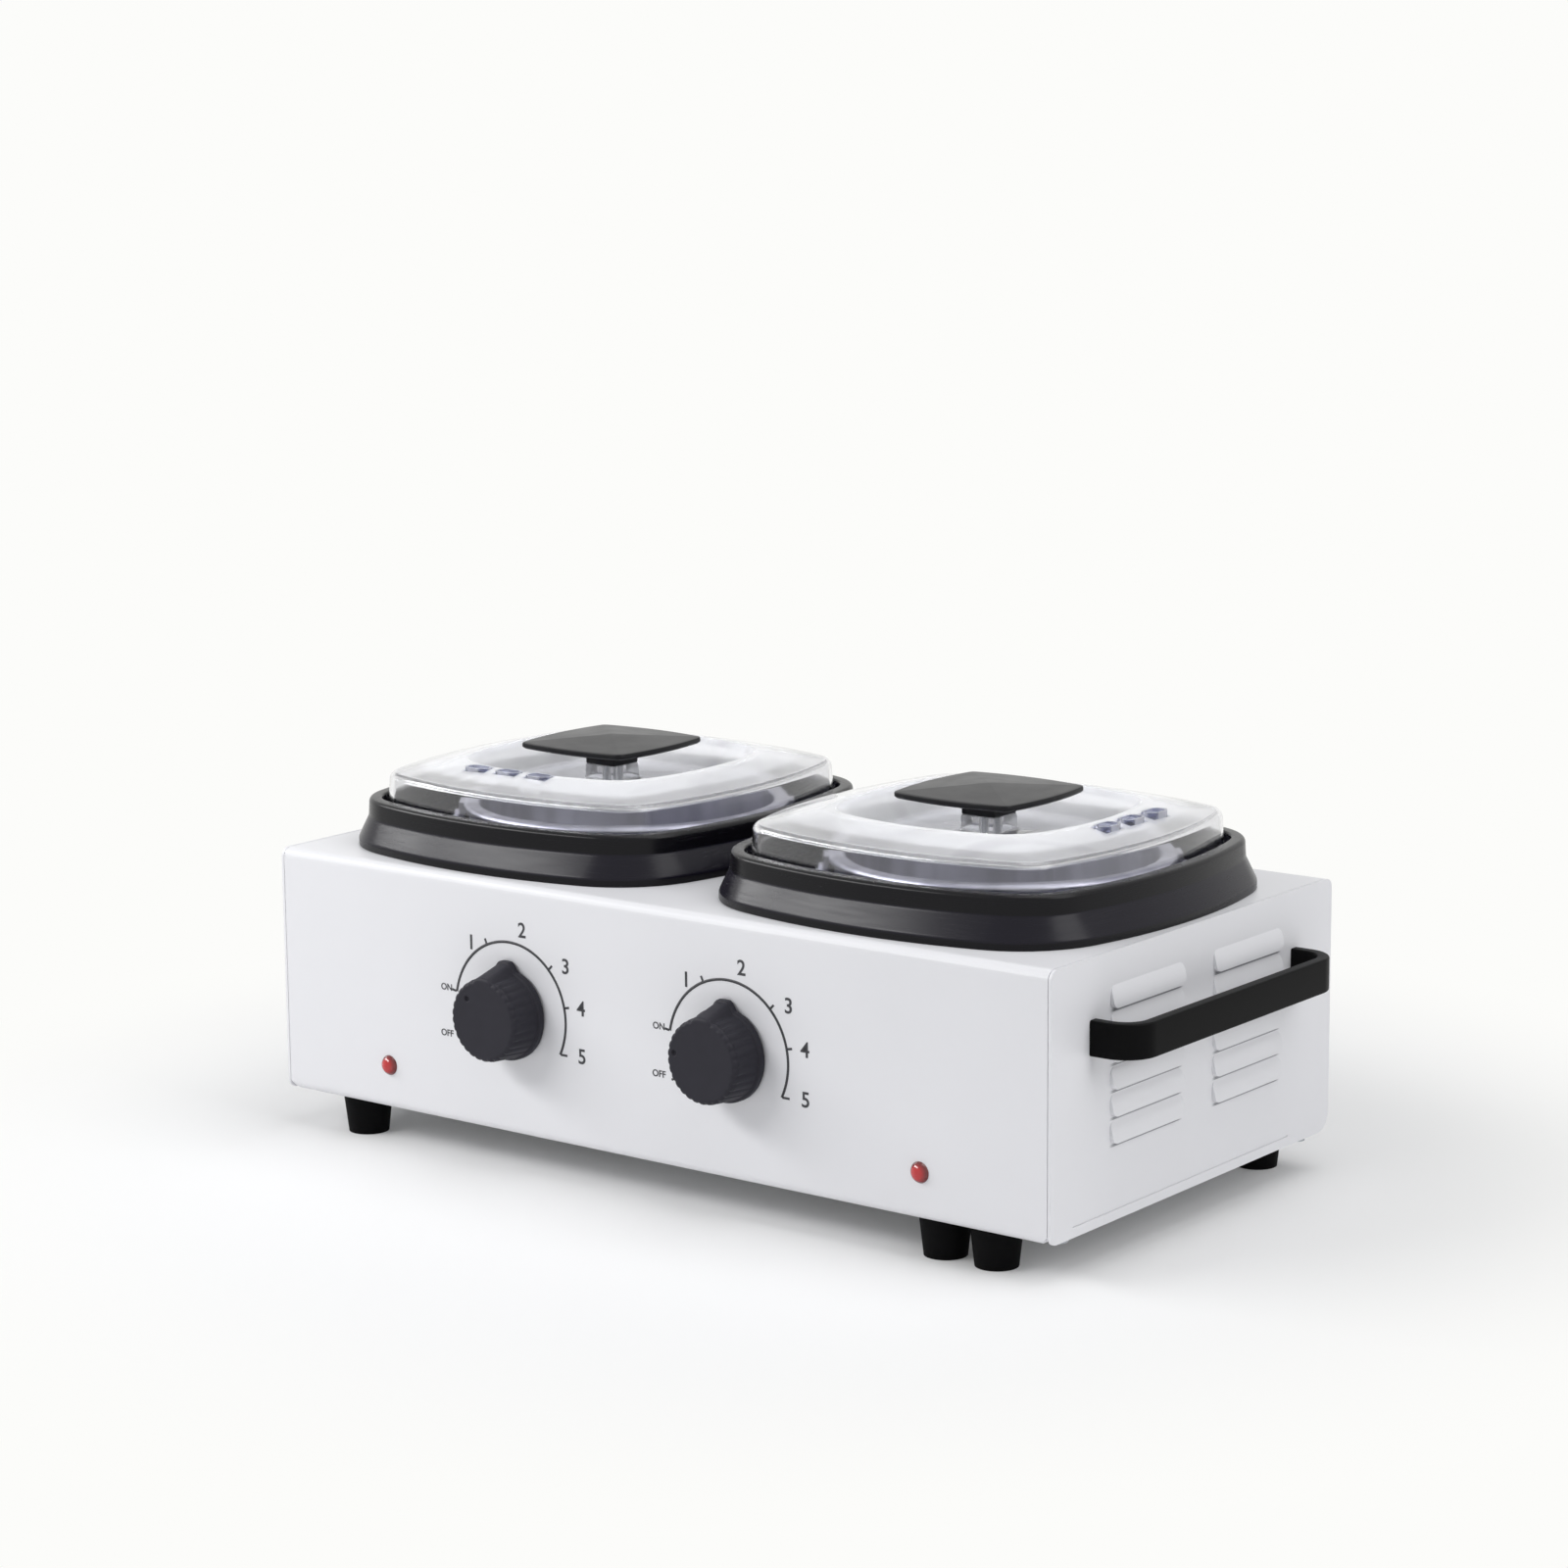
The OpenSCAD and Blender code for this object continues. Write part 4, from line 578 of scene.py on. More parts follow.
print("skin and fitting ready")

# %% [markdown]
# A collar is a black moulded frame that hides the cut edge of the sheet and holds the lid in
# place. Its outside rises from a thin foot band through a flare, which turns from hollow to
# full, to an upright wall with a rounded lip. Inside lies a flat floor with the hole for the pot.

# %% Collars
# Millimetres: heights are from the collar's foot, draws are inwards from the foot's outline.
FOOT, FOOT_SIDE_R, FOOT_CORNER_R, CORNER_DRAW = 82.2, 205.0, 37.5, 1.8
FOOT_H, FLARE_H, FLARE_DRAW, FLARE_STEPS, SOFT_END = 2.2, 9.0, 4.4, 33, 0.12
LIP_OUT, LIP_IN, LIP_Z, FLOOR_DRAW, FLOOR_H = 4.8, 10.3, 17.4, 13.0, 3.0
UNDER_DRAW, POCKET_DRAW = 8.1, 7.6
WALL, UNDER_Z, POCKET_Z, WELL_BACK, WELL_FLANGE = 2.2, 1.3, 9.9, 8.0, 8.3
well_low, well_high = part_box("heating_well_left")
floor_hole = (well_high.y - well_low.y) / 2 / MM - WELL_FLANGE


def flare_share(u):
    """Share of the flare's draw at a share of its height, straight between two soft ends."""
    if u < SOFT_END:
        return u * u / (2 * SOFT_END * (1 - SOFT_END))
    if u > 1 - SOFT_END:
        return 1 - (1 - u) ** 2 / (2 * SOFT_END * (1 - SOFT_END))
    return (u - SOFT_END / 2) / (1 - SOFT_END)


def collar_section():
    """Offsets and heights round the wall, from the foot over the lip and back underneath."""
    face = [(-0.25, 0.0), (0.0, 0.25), (0.0, FOOT_H)]
    for i in range(1, FLARE_STEPS + 1):
        u = i / FLARE_STEPS
        face.append((-FLARE_DRAW * flare_share(u), FOOT_H + FLARE_H * u))
    lip = rounded([
        (-FLARE_DRAW - 0.03, FOOT_H + FLARE_H + 0.2, 0), (-LIP_OUT, LIP_Z, 1.7), (-LIP_IN, LIP_Z, 0.9),
        (-LIP_IN, FLOOR_H, 1.2), (-FLOOR_DRAW, FLOOR_H, 0)])
    back = [(-UNDER_DRAW, UNDER_Z), (-UNDER_DRAW, POCKET_Z), (-POCKET_DRAW, POCKET_Z)]
    back += [(-FLARE_DRAW * flare_share(u) - WALL, POCKET_Z * u) for u in (0.6, 0.35, 0.15, 0.0)]
    return face + lip, back


def collar_ring(d, z):
    """The collar's outline grown by d, at a height."""
    outline = bowed_square(FOOT + d, FOOT_SIDE_R + d, FOOT_CORNER_R + CORNER_DRAW * d)
    return [(x, y, z) for x, y in outline]


for side in ("left", "right"):
    seat = centre_of("collar_" + side)
    seat.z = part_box("collar_" + side)[0].z
    face, back = collar_section()
    inner = [(x, y) for x, y, z in collar_ring(-FLOOR_DRAW, FLOOR_H)]
    hole = round_ring(floor_hole, inner, (0.0, WELL_BACK))
    rings = [collar_ring(d, z) for d, z in face]
    rings += [[(x, y, z) for x, y in hole] for z in (FLOOR_H, UNDER_Z)]
    rings += [collar_ring(d, z) for d, z in back]
    mesh = skin("collar_" + side, rings, seat)
    collar = fit_piece("moulded_collar_" + side, mesh, collar_abs, "warmer", "black_moulding",
                       "collar_" + side)
    print(collar.name, len(mesh.polygons), "faces, hole radius", round(floor_hole, 2), "mm")

# %% [markdown]
# A lid is one moulding in clear polycarbonate. Its skirt stands inside the collar. Its top rises
# a little to a crest and falls into a dish for the fingers, with a square boss in the middle and
# a screw hole through that. The outside and the inside are two lines with a wall between them;
# the outline at each point of a line follows from its distance from the middle.

# %% Lid section
LID_HALVES = [1.8, 7.5, 9.6, 35.0, 51.0, 66.2, 70.8]
LID_SIDE_R = [20.0, 60.0, 60.0, 84.0, 122.4, 175.4, 180.0]
LID_CORNER_R = [1.0, 1.0, 2.6, 14.7, 21.4, 11.4, 16.0]
EDGE_Z, SHOULDER_Z, CREST_Z, DISH_Z, BOSS_Z = 94.3, 117.8, 121.8, 112.2, 118.6
LID_WALL, SCREW_HOLE, EDGE_HALF = 1.8, 1.8, 70.8


def lid_outline(half):
    """The lid's outline at a distance from the middle."""
    side_r = float(np.interp(half, LID_HALVES, LID_SIDE_R))
    corner_r = float(np.interp(half, LID_HALVES, LID_CORNER_R))
    return bowed_square(half, side_r, corner_r)


lid_outside = rounded([
    (EDGE_HALF - LID_WALL / 2, EDGE_Z, 0), (EDGE_HALF, EDGE_Z, 0.5), (69.25, SHOULDER_Z - 0.35, 3.0),
    (50.0, CREST_Z - 0.2, 9), (46.4, CREST_Z, 1.5), (37.7, DISH_Z, 2.4),
    (7.9, DISH_Z, 1.6), (7.45, BOSS_Z, 0.5), (3.0, BOSS_Z, 0)])
lid_inside = rounded([
    (3.0, DISH_Z - LID_WALL, 0), (36.6, DISH_Z - LID_WALL, 4.0), (45.1, CREST_Z - LID_WALL, 2.4),
    (50.0, CREST_Z - 0.2 - LID_WALL, 8), (67.4, SHOULDER_Z - 0.35 - LID_WALL, 1.3),
    (EDGE_HALF - LID_WALL, EDGE_Z, 0.4), (EDGE_HALF - LID_WALL / 2, EDGE_Z, 0)])[:-1]
print("lid section:", len(lid_outside), "points outside,", len(lid_inside), "inside")

# %% [markdown]
# Three steam vents are cut through the crest, each with a low moulded lip. The same small node
# tree makes the row of lips and the row of cutters: it sets a rounded slot on each point of a
# line. The Boolean modifier then joins the lips to the lid and takes the cutters away.

# %% Node tree for a row of slots
def tree_with(name, inputs):
    """A geometry tree with named inputs; returns the tree, its input node and the identifiers."""
    tree = bpy.data.node_groups.new(name, "GeometryNodeTree")
    tree.interface.new_socket(name="Geometry", in_out="INPUT", socket_type="NodeSocketGeometry")
    tree.interface.new_socket(name="Geometry", in_out="OUTPUT", socket_type="NodeSocketGeometry")
    keys = {label: tree.interface.new_socket(name=label, in_out="INPUT", socket_type=kind).identifier
            for label, kind in inputs.items()}
    return tree, tree.nodes.new("NodeGroupInput").outputs, keys


def close_tree(tree, geometry, material):
    """Ends a geometry tree in real geometry with its material."""
    real = add(tree, "GeometryNodeRealizeInstances", None, {"Geometry": geometry})
    coated = add(tree, "GeometryNodeSetMaterial", None, {"Geometry": real, "Material": material})
    add(tree, "NodeGroupOutput", None, {"Geometry": coated})


def made_by(tree, keys, values, start=None):
    """Runs a geometry tree on a start mesh and returns the plain mesh that it makes."""
    holder = bpy.data.objects.new("holder", start or bpy.data.meshes.new("empty_start"))
    bpy.context.collection.objects.link(holder)
    modifier = holder.modifiers.new("nodes", "NODES")
    modifier.node_group = tree
    for label, value in values.items():
        modifier[keys[label]] = value
    return plain_mesh(holder)


def plain_mesh(holder):
    """The mesh of an object with its modifiers worked out; the object itself is removed."""
    bpy.context.view_layer.update()
    mesh = bpy.data.meshes.new_from_object(holder.evaluated_get(bpy.context.evaluated_depsgraph_get()))
    bpy.data.objects.remove(holder)
    return mesh


slot_tree, given, slot_keys = tree_with("row_of_slots", {
    "Count": "NodeSocketInt", "Step": "NodeSocketVector", "Width": "NodeSocketFloat",
    "Length": "NodeSocketFloat", "Depth": "NodeSocketVector"})
places = add(slot_tree, "GeometryNodeMeshLine", None, {"Count": given["Count"], "Offset": given["Step"]})
outline = add(slot_tree, "GeometryNodeCurvePrimitiveQuadrilateral", None,
              {"Width": given["Width"], "Height": given["Length"]})
half_width = add(slot_tree, "ShaderNodeMath", {"operation": "MULTIPLY"}, {0: given["Width"], 1: 0.499})
slot_curve = add(slot_tree, "GeometryNodeFilletCurve", {"mode": "POLY"},
                 {"Curve": outline, "Radius": half_width, "Count": 10})
rise = add(slot_tree, "GeometryNodeCurvePrimitiveLine", None, {"End": given["Depth"]})
prism = add(slot_tree, "GeometryNodeCurveToMesh", None,
            {"Curve": rise, "Profile Curve": slot_curve, "Fill Caps": True})
row = add(slot_tree, "GeometryNodeInstanceOnPoints", None, {"Points": places, "Instance": prism})
close_tree(slot_tree, row, clear_pc)
print("slot tree has", len(slot_tree.nodes), "nodes")

# %% [markdown]
# Each lid is the skin over its two lines, closed through the screw hole of the boss. The vents
# stand in a row across the front of the left lid and along the right edge of the right one.

# %% Lids
def vent_row(side, grow, low, high, centre):
    """Three slots across a lid's crest, each grown by an edge width, between two heights."""
    mesh = made_by(slot_tree, slot_keys, {
        "Count": 3, "Step": (0.0, VENT_PITCH * MM, 0.0), "Width": (VENT_W + 2 * grow) * MM,
        "Length": (VENT_L + 2 * grow) * MM, "Depth": (0.0, 0.0, (high - low) * MM)})
    x, y = VENT_PLACE[side]
    first = Vector((x, y - VENT_PITCH, low)) * MM
    if side == "left":
        mesh.transform(Matrix.Rotation(-math.pi / 2, 4, "Z"))
        first = Vector((x - VENT_PITCH, y, low)) * MM
    mesh.transform(Matrix.Translation(centre + first))
    part = bpy.data.objects.new("vents", mesh)
    bpy.context.collection.objects.link(part)
    return part


for side in ("left", "right"):
    seat = centre_of("collar_" + side)
    seat.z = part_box("lid_" + side)[0].z - EDGE_Z * MM
    rings = [[(x, y, z) for x, y in lid_outline(h)] for h, z in lid_outside]
    hole = round_ring(SCREW_HOLE, lid_outline(7.5))
    rings += [[(x, y, z) for x, y in hole] for z in (BOSS_Z, DISH_Z - LID_WALL)]
    rings += [[(x, y, z) for x, y in lid_outline(h)] for h, z in lid_inside]
    holder = bpy.data.objects.new("lid_blank", skin("lid_" + side, rings, seat))
    bpy.context.collection.objects.link(holder)
    lips = vent_row(side, 0.9, CREST_Z - 2.6, CREST_Z + 0.2, seat)
    cutters = vent_row(side, 0.0, CREST_Z - 6, CREST_Z + 6, seat)
    for other, operation in ((lips, "UNION"), (cutters, "DIFFERENCE")):
        modifier = holder.modifiers.new(operation, "BOOLEAN")
        modifier.object, modifier.operation, modifier.solver = other, operation, "EXACT"
    mesh = plain_mesh(holder)
    for other in (lips, cutters):
        bpy.data.objects.remove(other)
    mesh.name = "lid_" + side
    soften(mesh, 28)
    lid = fit_piece("moulded_lid_" + side, mesh, clear_pc, "lid_%s_body" % side, "lid_clear", "lid_" + side)
    print(lid.name, len(mesh.polygons), "faces")

# %% [markdown]
# The lid's handle is a thin black plate on a square stem. Its top is a very low pyramid, so that
# the four facets catch the light differently and meet in crisp hips.

# %% Lid handles
# Shares are of the plate's half width; the plate's top rises from TOP_SHARE to TIP_SHARE.
plate_low, plate_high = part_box("lid_handle_left")
PLATE = (plate_high.x - plate_low.x) / 2 / MM
PLATE_LOW, PLATE_T, PLATE_RISE, STEM = 124.7, 2.5, 2.0, 7.2
PLATE_BOW, TOP_SHARE, TIP_SHARE = 4.2, 0.975, 0.02


def plate_ring(share, corner, z):
    """The plate's outline at a share of its size."""
    h = PLATE * share
    return [(x, y, z) for x, y in bowed_square(h, h * PLATE_BOW, corner)]


def stem_ring(half, corner, z):
    """The stem's outline."""
    return [(x, y, z) for x, y in bowed_square(half, 90, corner)]


for side in ("left", "right"):
    seat = centre_of("collar_" + side)
    seat.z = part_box("lid_handle_" + side)[0].z - BOSS_Z * MM
    rings = [stem_ring(6.9, 0.6, BOSS_Z), stem_ring(STEM, 0.8, BOSS_Z + 0.3),
             stem_ring(STEM, 0.8, PLATE_LOW - 0.8), stem_ring(7.4, 1.0, PLATE_LOW - 0.3),
             stem_ring(8.0, 1.5, PLATE_LOW)]
    top_z = PLATE_LOW + PLATE_T
    rings += [plate_ring(0.93, 2.8, PLATE_LOW), plate_ring(TOP_SHARE, 3.0, PLATE_LOW + 0.25),
              plate_ring(1.0, 3.2, PLATE_LOW + 0.9), plate_ring(1.0, 3.2, top_z - 0.55),
              plate_ring(0.993, 3.1, top_z - 0.15), plate_ring(TOP_SHARE, 2.5, top_z)]
    for share, corner in ((0.95, 1.5), (0.9, 0.7), (0.8, 0.3), (0.5, 0.12), (0.2, 0.06), (TIP_SHARE, 0.04)):
        climbed = (TOP_SHARE - share) / (TOP_SHARE - TIP_SHARE)
        rings.append(plate_ring(share, corner, top_z + PLATE_RISE * climbed))
    mesh = skin("lid_handle_" + side, rings, seat, loop=False, sharp=40)
    plate = fit_piece("pyramid_handle_" + side, mesh, glossy_abs, "lid_%s_body" % side, "black_moulding",
                      "lid_handle_" + side)
    print(plate.name, len(mesh.polygons), "faces, half width", round(PLATE, 2), "mm")

# %% [markdown]
# The knobs are turned shapes with thirty flutes for grip, so they are made in polar form: a list
# of distances and radii along the axis, with the flutes, the pointer and the index dimple added
# as small changes to each point. The pointer starts on the skirt and fades into the grip.

# %% Knobs
TURNS, FLUTES, FLUTE_DEPTH = 384, 30, 0.36
SKIRT_R, GRIP_R, FACE_R, REACH, POINTER_R = 16.5, 15.6, 14.8, 15.0, 19.3
SKIRT_END, BORE_R, BORE_REACH, DIMPLE_R, DIMPLE_DEPTH = 3.6, 13.2, 8.6, 1.25, 0.9
RELIEF_R, TIP_W, BASE_W, POINTER_DROP = 12.9, 1.6, 5.2, 2.1
knob_line = rounded([
    (BORE_REACH, 0.05, 0), (BORE_REACH, BORE_R, 0), (0.8, BORE_R, 0), (0.8, SKIRT_R, 0.3),
    (SKIRT_END - 0.3, SKIRT_R, 0.8), (SKIRT_END, GRIP_R, 0.3), (REACH, FACE_R - 0.1, 1.5),
    (REACH, 13.0, 0)], 6)
grip_slope = (FACE_R - GRIP_R) / (REACH - SKIRT_END)
grip_rows = [(u, GRIP_R + grip_slope * (u - SKIRT_END)) for u in np.linspace(4.4, 13.0, 9)]
cut = next(i for i, (u, r) in enumerate(knob_line) if u > 4.4)
knob_line = knob_line[:cut] + grip_rows + knob_line[cut:]
knob_line += [(REACH, r) for r in np.arange(12.75, 8.0, -0.25)] + [(REACH, r) for r in (7, 5, 3, 1, 0.05)]


def smooth_step(x):
    """0 below 0, 1 above 1, and a soft turn between."""
    x = min(max(x, 0.0), 1.0)
    return x * x * (3 - 2 * x)


def knob_point(u, r, turn, dimple):
    """Point of the knob at distance u, radius r and an angle, with flutes, pointer and dimple."""
    outside = r > BORE_R + 0.05 or u > BORE_REACH + 0.4
    along = smooth_step((u - 4.0) / 9.0)
    if outside and r > RELIEF_R:
        flute = smooth_step((u - 3.7) / 0.8) * smooth_step((r - RELIEF_R) / 1.2)
        groove = (0.5 + 0.5 * math.cos(FLUTES * turn)) ** 2.2
        lean = abs(math.remainder(turn - math.pi / 2, 2 * math.pi)) * r
        top, base = TIP_W + 0.6 * along, BASE_W - 0.8 * along
        ridge = smooth_step((base - lean) / (base - top))
        drop = POINTER_DROP * smooth_step((u - SKIRT_END) / 4.4)
        height = (POINTER_R - SKIRT_R - drop) * smooth_step(r - RELIEF_R)
        r += height * ridge - FLUTE_DEPTH * flute * groove * (1 - ridge)
    x, z = r * math.cos(turn), r * math.sin(turn)
    if u > REACH - 0.1 and r < RELIEF_R + 0.4:
        off = math.hypot(x - dimple[0] * math.cos(dimple[1]), z - dimple[0] * math.sin(dimple[1]))
        u -= DIMPLE_DEPTH * smooth_step((DIMPLE_R - off) / 0.7)
    return (x, -u, z)


# Each face has a dimple at this radius and angle.
dimples = {"left": (10.0, math.radians(134.6)), "right": (11.5, math.radians(171.5))}
for side, dimple in dimples.items():
    low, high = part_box("knob_" + side)
    face_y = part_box("housing_shell")[0].y
    axis = Vector(((low.x + high.x) / 2, face_y, low.z + SKIRT_R * MM))
    turns = [2 * math.pi * i / TURNS for i in range(TURNS)]
    rings = [[knob_point(u, r, turn, dimple) for turn in turns] for u, r in knob_line]
    mesh = skin("knob_" + side, rings, axis, loop=False, sharp=45)
    knob = fit_piece("fluted_knob_" + side, mesh, knob_abs, "knob_%s_body" % side, "knob_charcoal",
                     "knob_" + side)
    print(knob.name, len(mesh.polygons), "faces")

# %% [markdown]
# Each carry handle is one strap with a bend at both ends and soft edges. A strap follows a path,
# so Geometry Nodes make it: a line of four points is filleted at its corners and swept with a
# rounded rectangle.

# %% Node tree for a bent strap
strap_tree, given, strap_keys = tree_with("bent_strap", {
    "Bend radius": "NodeSocketFloat", "Thickness": "NodeSocketFloat", "Height": "NodeSocketFloat",
    "Edge radius": "NodeSocketFloat"})
path = add(strap_tree, "GeometryNodeMeshToCurve", None, {"Mesh": given["Geometry"]})
bent = add(strap_tree, "GeometryNodeFilletCurve", {"mode": "POLY"},
           {"Curve": path, "Radius": given["Bend radius"], "Count": 20})
upright = add(strap_tree, "GeometryNodeSetCurveNormal", {"mode": "Z_UP"}, {"Curve": bent})
section = add(strap_tree, "GeometryNodeCurvePrimitiveQuadrilateral", None,
              {"Width": given["Thickness"], "Height": given["Height"]})
soft_section = add(strap_tree, "GeometryNodeFilletCurve", {"mode": "POLY"},
                   {"Curve": section, "Radius": given["Edge radius"], "Count": 5})
swept = add(strap_tree, "GeometryNodeCurveToMesh", None,
            {"Curve": upright, "Profile Curve": soft_section, "Fill Caps": True})
close_tree(strap_tree, swept, handle_abs)
print("strap tree has", len(strap_tree.nodes), "nodes")

# %% Carry handles
STRAP_T, STRAP_BEND, STRAP_EDGE = 4.3, 12.0, 0.75
for side, outward in (("left", -1), ("right", 1)):
    low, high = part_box("carry_handle_" + side)
    foot_x, tip_x = (high.x, low.x) if outward < 0 else (low.x, high.x)
    half_t, z = STRAP_T / 2 * MM, (low.z + high.z) / 2
    line = bpy.data.meshes.new("strap_path")
    line.from_pydata([(foot_x, low.y + half_t, z), (tip_x - outward * half_t, low.y + half_t, z),
                      (tip_x - outward * half_t, high.y - half_t, z), (foot_x, high.y - half_t, z)],
                     [(0, 1), (1, 2), (2, 3)], [])
    mesh = made_by(strap_tree, strap_keys, {
        "Bend radius": (STRAP_BEND - STRAP_T / 2) * MM, "Thickness": STRAP_T * MM,
        "Height": high.z - low.z, "Edge radius": STRAP_EDGE * MM}, line)
    soften(mesh, 40)
    strap = fit_piece("carry_strap_" + side, mesh, handle_abs, "warmer", "handle_black",
                      "carry_handle_" + side)
    size = strap.dimensions / MM
    print(strap.name, [round(c, 1) for c in size], "mm")

# %% [markdown]
# The dials are screen-printed on the front: a thin arc, a tick at each setting, and plain
# numbers. The ink is a tenth of a millimetre thick here. The arc and its ticks are one node
# tree; each tick is set on a point of the start mesh and turned by that point's own lean.

# %% Node tree for a printed dial
DIAL_R, INK = 25.65, 0.1
dial_tree, given, dial_keys = tree_with("printed_dial", {
    "Radius": "NodeSocketFloat", "Start": "NodeSocketFloat", "Sweep": "NodeSocketFloat",
    "Line": "NodeSocketFloat", "Ink": "NodeSocketFloat"})
arc = add(dial_tree, "GeometryNodeCurveArc", {"mode": "RADIUS"}, {
    "Resolution": 96, "Radius": given["Radius"], "Start Angle": given["Start"],
    "Sweep Angle": given["Sweep"]})
flat_arc = add(dial_tree, "GeometryNodeSetCurveNormal", {"mode": "Z_UP"}, {"Curve": arc})
pen = add(dial_tree, "GeometryNodeCurvePrimitiveQuadrilateral", None,
          {"Width": given["Line"], "Height": given["Ink"]})
drawn = add(dial_tree, "GeometryNodeCurveToMesh", None,
            {"Curve": flat_arc, "Profile Curve": pen, "Fill Caps": True})
turn = add(dial_tree, "GeometryNodeInputNamedAttribute", {"data_type": "FLOAT_VECTOR"}, {"Name": "turn"})
stretch = add(dial_tree, "GeometryNodeInputNamedAttribute", {"data_type": "FLOAT_VECTOR"}, {"Name": "size"})
tick = add(dial_tree, "GeometryNodeMeshCube", None, {"Size": (1.0, 1.0, 1.0)})
ticks = add(dial_tree, "GeometryNodeInstanceOnPoints", None,
            {"Points": given["Geometry"], "Instance": tick, "Rotation": turn, "Scale": stretch})
both = add(dial_tree, "GeometryNodeJoinGeometry", None, {"Geometry": drawn})
dial_tree.links.new(ticks.outputs["Instances"], both.inputs["Geometry"])
close_tree(dial_tree, both, ink)
print("dial tree has", len(dial_tree.nodes), "nodes")

# %% [markdown]
# A label is a text object that is turned into a thin solid. Both dials carry the same labels, and
# each dial is one piece: the arc, its ticks and all its labels, stood upright on the front.

# %% Dials
# Ticks are (angle on the arc, length, lean); labels are (text, x, z, size) from the knob's axis.
ARC_START, ARC_SWEEP, LINE_W, TICK_W, TICK_GAP = -27, 197, 0.95, 0.8, 0.3
TICKS = [(ARC_START + ARC_SWEEP, 2.0, ARC_START + ARC_SWEEP), (207.5, 2.0, 207.5), (114, 2.0, 114),
         (45, 2.0, 45), (12, 2.0, 12), (ARC_START, 3.0, 0)]
LABELS = [("1", -17.9, 23.1, 7.6), ("2", 6.1, 30.4, 7.6), ("3", 26.0, 20.1, 7.6), ("4", 32.8, 6.0, 7.6),
          ("5", 32.9, -11.2, 7.6), ("ON", -30.2, 5.2, 3.4), ("OFF", -30.4, -11.7, 3.4)]


def printed(label, x, z, size):
    """One printed label as a thin solid in the dial's plane, in metres."""
    text = bpy.data.curves.new("label_" + label, "FONT")
    text.body, text.size, text.extrude = label, size * MM, INK / 2 * MM
    text.align_x, text.align_y = "CENTER", "CENTER"
    text.offset = size * 0.012 * MM
    text.resolution_u = 6
    holder = bpy.data.objects.new("label", text)
    bpy.context.collection.objects.link(holder)
    mesh = plain_mesh(holder)
    mesh.transform(Matrix.Translation((x * MM, z * MM, 0)))
    return mesh


def tick_points():
    """A mesh with the middle of each tick, and each tick's turn and size as attributes."""
    middles, turns, sizes = [], [], []
    for angle, length, lean in TICKS:
        a, t, out = math.radians(angle), math.radians(lean), TICK_GAP + length / 2
        x, y = DIAL_R * math.cos(a) + out * math.cos(t), DIAL_R * math.sin(a) + out * math.sin(t)
        middles.append((x * MM, y * MM, 0))
        turns += [0, 0, t]
        sizes += [length * MM, TICK_W * MM, INK * MM]
    start = bpy.data.meshes.new("tick_points")
    start.from_pydata(middles, [], [])
    start.attributes.new("turn", "FLOAT_VECTOR", "POINT").data.foreach_set("vector", turns)
    start.attributes.new("size", "FLOAT_VECTOR", "POINT").data.foreach_set("vector", sizes)
    return start


for side in ("left", "right"):
    dial = made_by(dial_tree, dial_keys, {
        "Radius": DIAL_R * MM, "Start": math.radians(ARC_START), "Sweep": math.radians(ARC_SWEEP),
        "Line": LINE_W * MM, "Ink": INK * MM}, tick_points())
    bm = bmesh.new()
    bm.from_mesh(dial)
    for label in LABELS:
        bm.from_mesh(printed(*label))
    low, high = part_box("knob_" + side)
    face_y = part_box("housing_shell")[0].y - INK / 2 * MM
    front = Vector(((low.x + high.x) / 2, face_y, low.z + SKIRT_R * MM))
    bm.transform(Matrix.Translation(front) @ Matrix.Rotation(math.pi / 2, 4, "X"))
    bmesh.ops.remove_doubles(bm, verts=bm.verts, dist=1e-6)
    mesh = bpy.data.meshes.new("dial_" + side)
    bm.to_mesh(mesh)
    bm.free()
    dial_piece = fit_piece("printed_dial_" + side, mesh, ink, "warmer", "knob_charcoal")
    print(dial_piece.name, len(mesh.polygons), "faces")

# %% [markdown]
# The studio is a pale sweep. Near the warmer the floor is a plain matt surface that takes the
# shadow. Farther out it turns into a plain glow of the backdrop's own colour, so no horizon shows.
# Only rays of the camera, of mirroring surfaces and of clear pieces see the glow: it whitens the
# background and what the metal and the lids reflect, and lights nothing.

# %% Floor
BACKDROP = "#fcfcfa"
FLOOR_HALF, SHADOW_FROM, SHADOW_TO, NEAR_GLOW = 6.0, 0.17, 0.38, 0.08


def shows_backdrop(tree):
    """1 for the rays of the camera, of mirroring surfaces and of clear pieces."""
    rays = add(tree, "ShaderNodeLightPath").outputs
    direct = add(tree, "ShaderNodeMath", {"operation": "MAXIMUM"},
                 {0: rays["Is Camera Ray"], 1: rays["Is Glossy Ray"]})
    return add(tree, "ShaderNodeMath", {"operation": "MAXIMUM"},
               {0: direct, 1: rays["Is Transmission Ray"]})


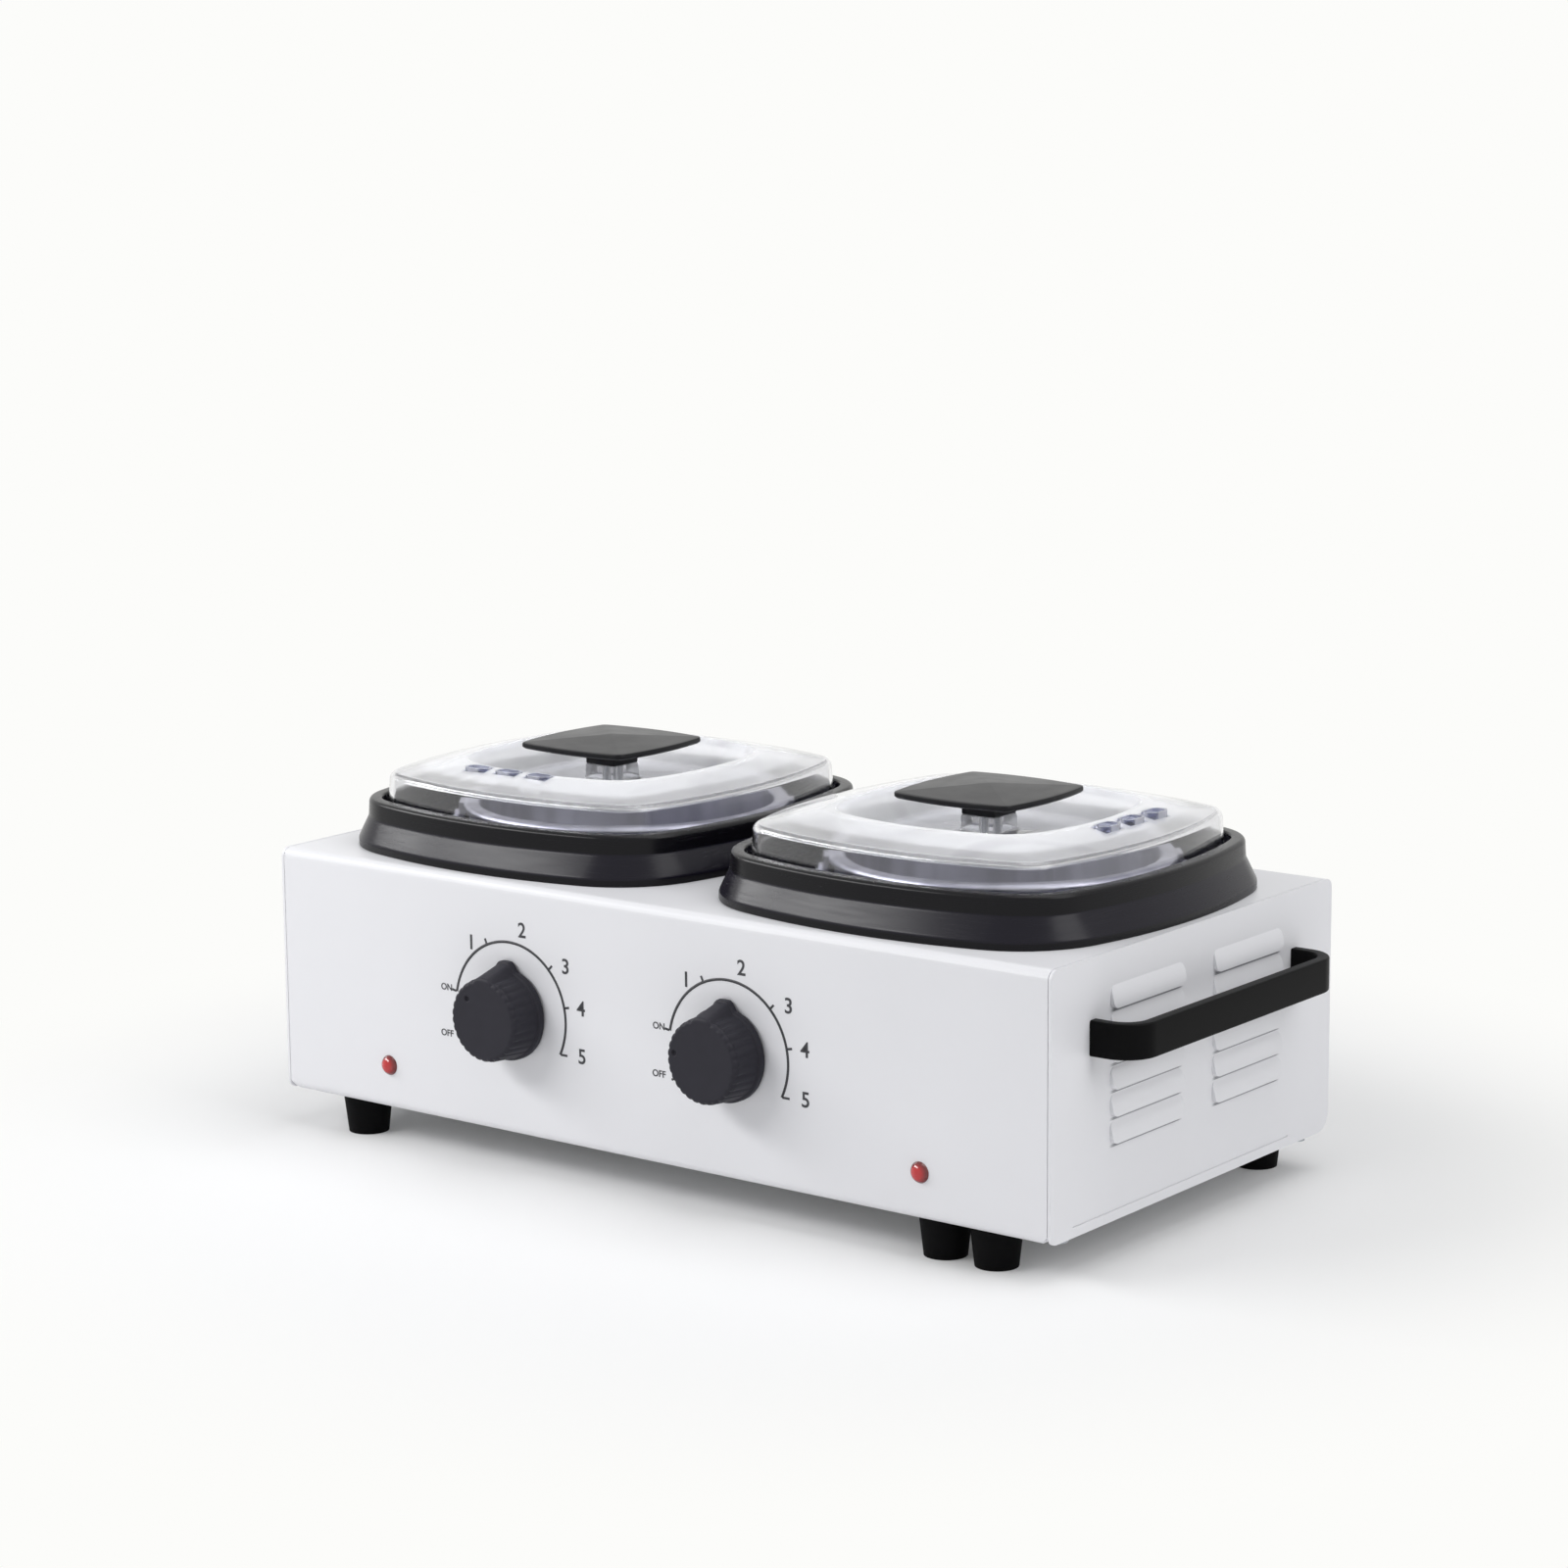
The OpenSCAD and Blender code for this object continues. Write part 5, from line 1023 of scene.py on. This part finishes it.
floor_mesh = bpy.data.meshes.new("studio_floor")
corners = [(x * FLOOR_HALF, y * FLOOR_HALF, 0) for x, y in ((-1, -1), (1, -1), (1, 1), (-1, 1))]
floor_mesh.from_pydata(corners, [], [(0, 1, 2, 3)])
floor = bpy.data.objects.new("studio_floor", floor_mesh)
bpy.context.collection.objects.link(floor)
sweep, tree, shader, coords = start_material("pale_sweep", "#f4f4f4", Roughness=0.9)
glow = add(tree, "ShaderNodeEmission", None, {"Color": linear(BACKDROP), "Strength": 1.0})
distance = add(tree, "ShaderNodeVectorMath", {"operation": "LENGTH"}, {0: coords})
fade = add(tree, "ShaderNodeMapRange", SMOOTH, {
    "Value": distance.outputs["Value"], "From Min": SHADOW_FROM, "From Max": SHADOW_TO,
    "To Min": NEAR_GLOW})
share = add(tree, "ShaderNodeMath", {"operation": "MULTIPLY"}, {0: fade, 1: shows_backdrop(tree)})
blend = add(tree, "ShaderNodeMixShader", None, {0: share, 1: shader, 2: glow})
tree.links.new(blend.outputs["Shader"], tree.nodes["Material Output"].inputs["Surface"])
floor_mesh.materials.append(sweep)
print("floor", 2 * FLOOR_HALF, "m wide, in", sweep.name)

# %% Backdrop
world = bpy.data.worlds.new("studio")
bpy.context.scene.world = world
world.use_nodes = True
tree = world.node_tree
tree.nodes.clear()
dim = add(tree, "ShaderNodeBackground", None, {"Color": linear("#f0f2f7"), "Strength": 0.28})
bright = add(tree, "ShaderNodeBackground", None, {"Color": linear(BACKDROP), "Strength": 1.0})
blend = add(tree, "ShaderNodeMixShader", None, {0: shows_backdrop(tree), 1: dim, 2: bright})
add(tree, "ShaderNodeOutputWorld", None, {"Surface": blend})
print("made", world.name)

# %% [markdown]
# Four softboxes light the warmer. A long narrow key at the front left draws the bright band on
# the collars, a small strip further left lifts their ends, a broad fill evens out the right side,
# and a large one overhead lights the top and the lids.

# %% Lamps
def softbox(name, place, target, size, power):
    """An area lamp of that width and height that looks at target."""
    lamp = bpy.data.lights.new(name, "AREA")
    lamp.shape = "RECTANGLE"
    lamp.size, lamp.size_y = size
    lamp.energy = power
    seat = bpy.data.objects.new(name, lamp)
    seat.location = place
    seat.rotation_euler = (Vector(target) - Vector(place)).to_track_quat("-Z", "Y").to_euler()
    bpy.context.collection.objects.link(seat)
    return seat


softbox("key_softbox", (-0.77, -0.92, 0.85), (-0.05, 0, 0.1), (1.0, 0.22), 8.8)
softbox("strip_softbox", (-1.15, -0.42, 0.68), (-0.05, 0, 0.1), (0.34, 0.3), 3.4)
softbox("fill_softbox", (1.5, 0.1, 0.95), (0.05, 0, 0.06), (0.9, 0.9), 6.8)
softbox("top_softbox", (0.5, 0.12, 1.5), (0, 0, 0.1), (1.2, 1.2), 9.4)
print("studio ready")
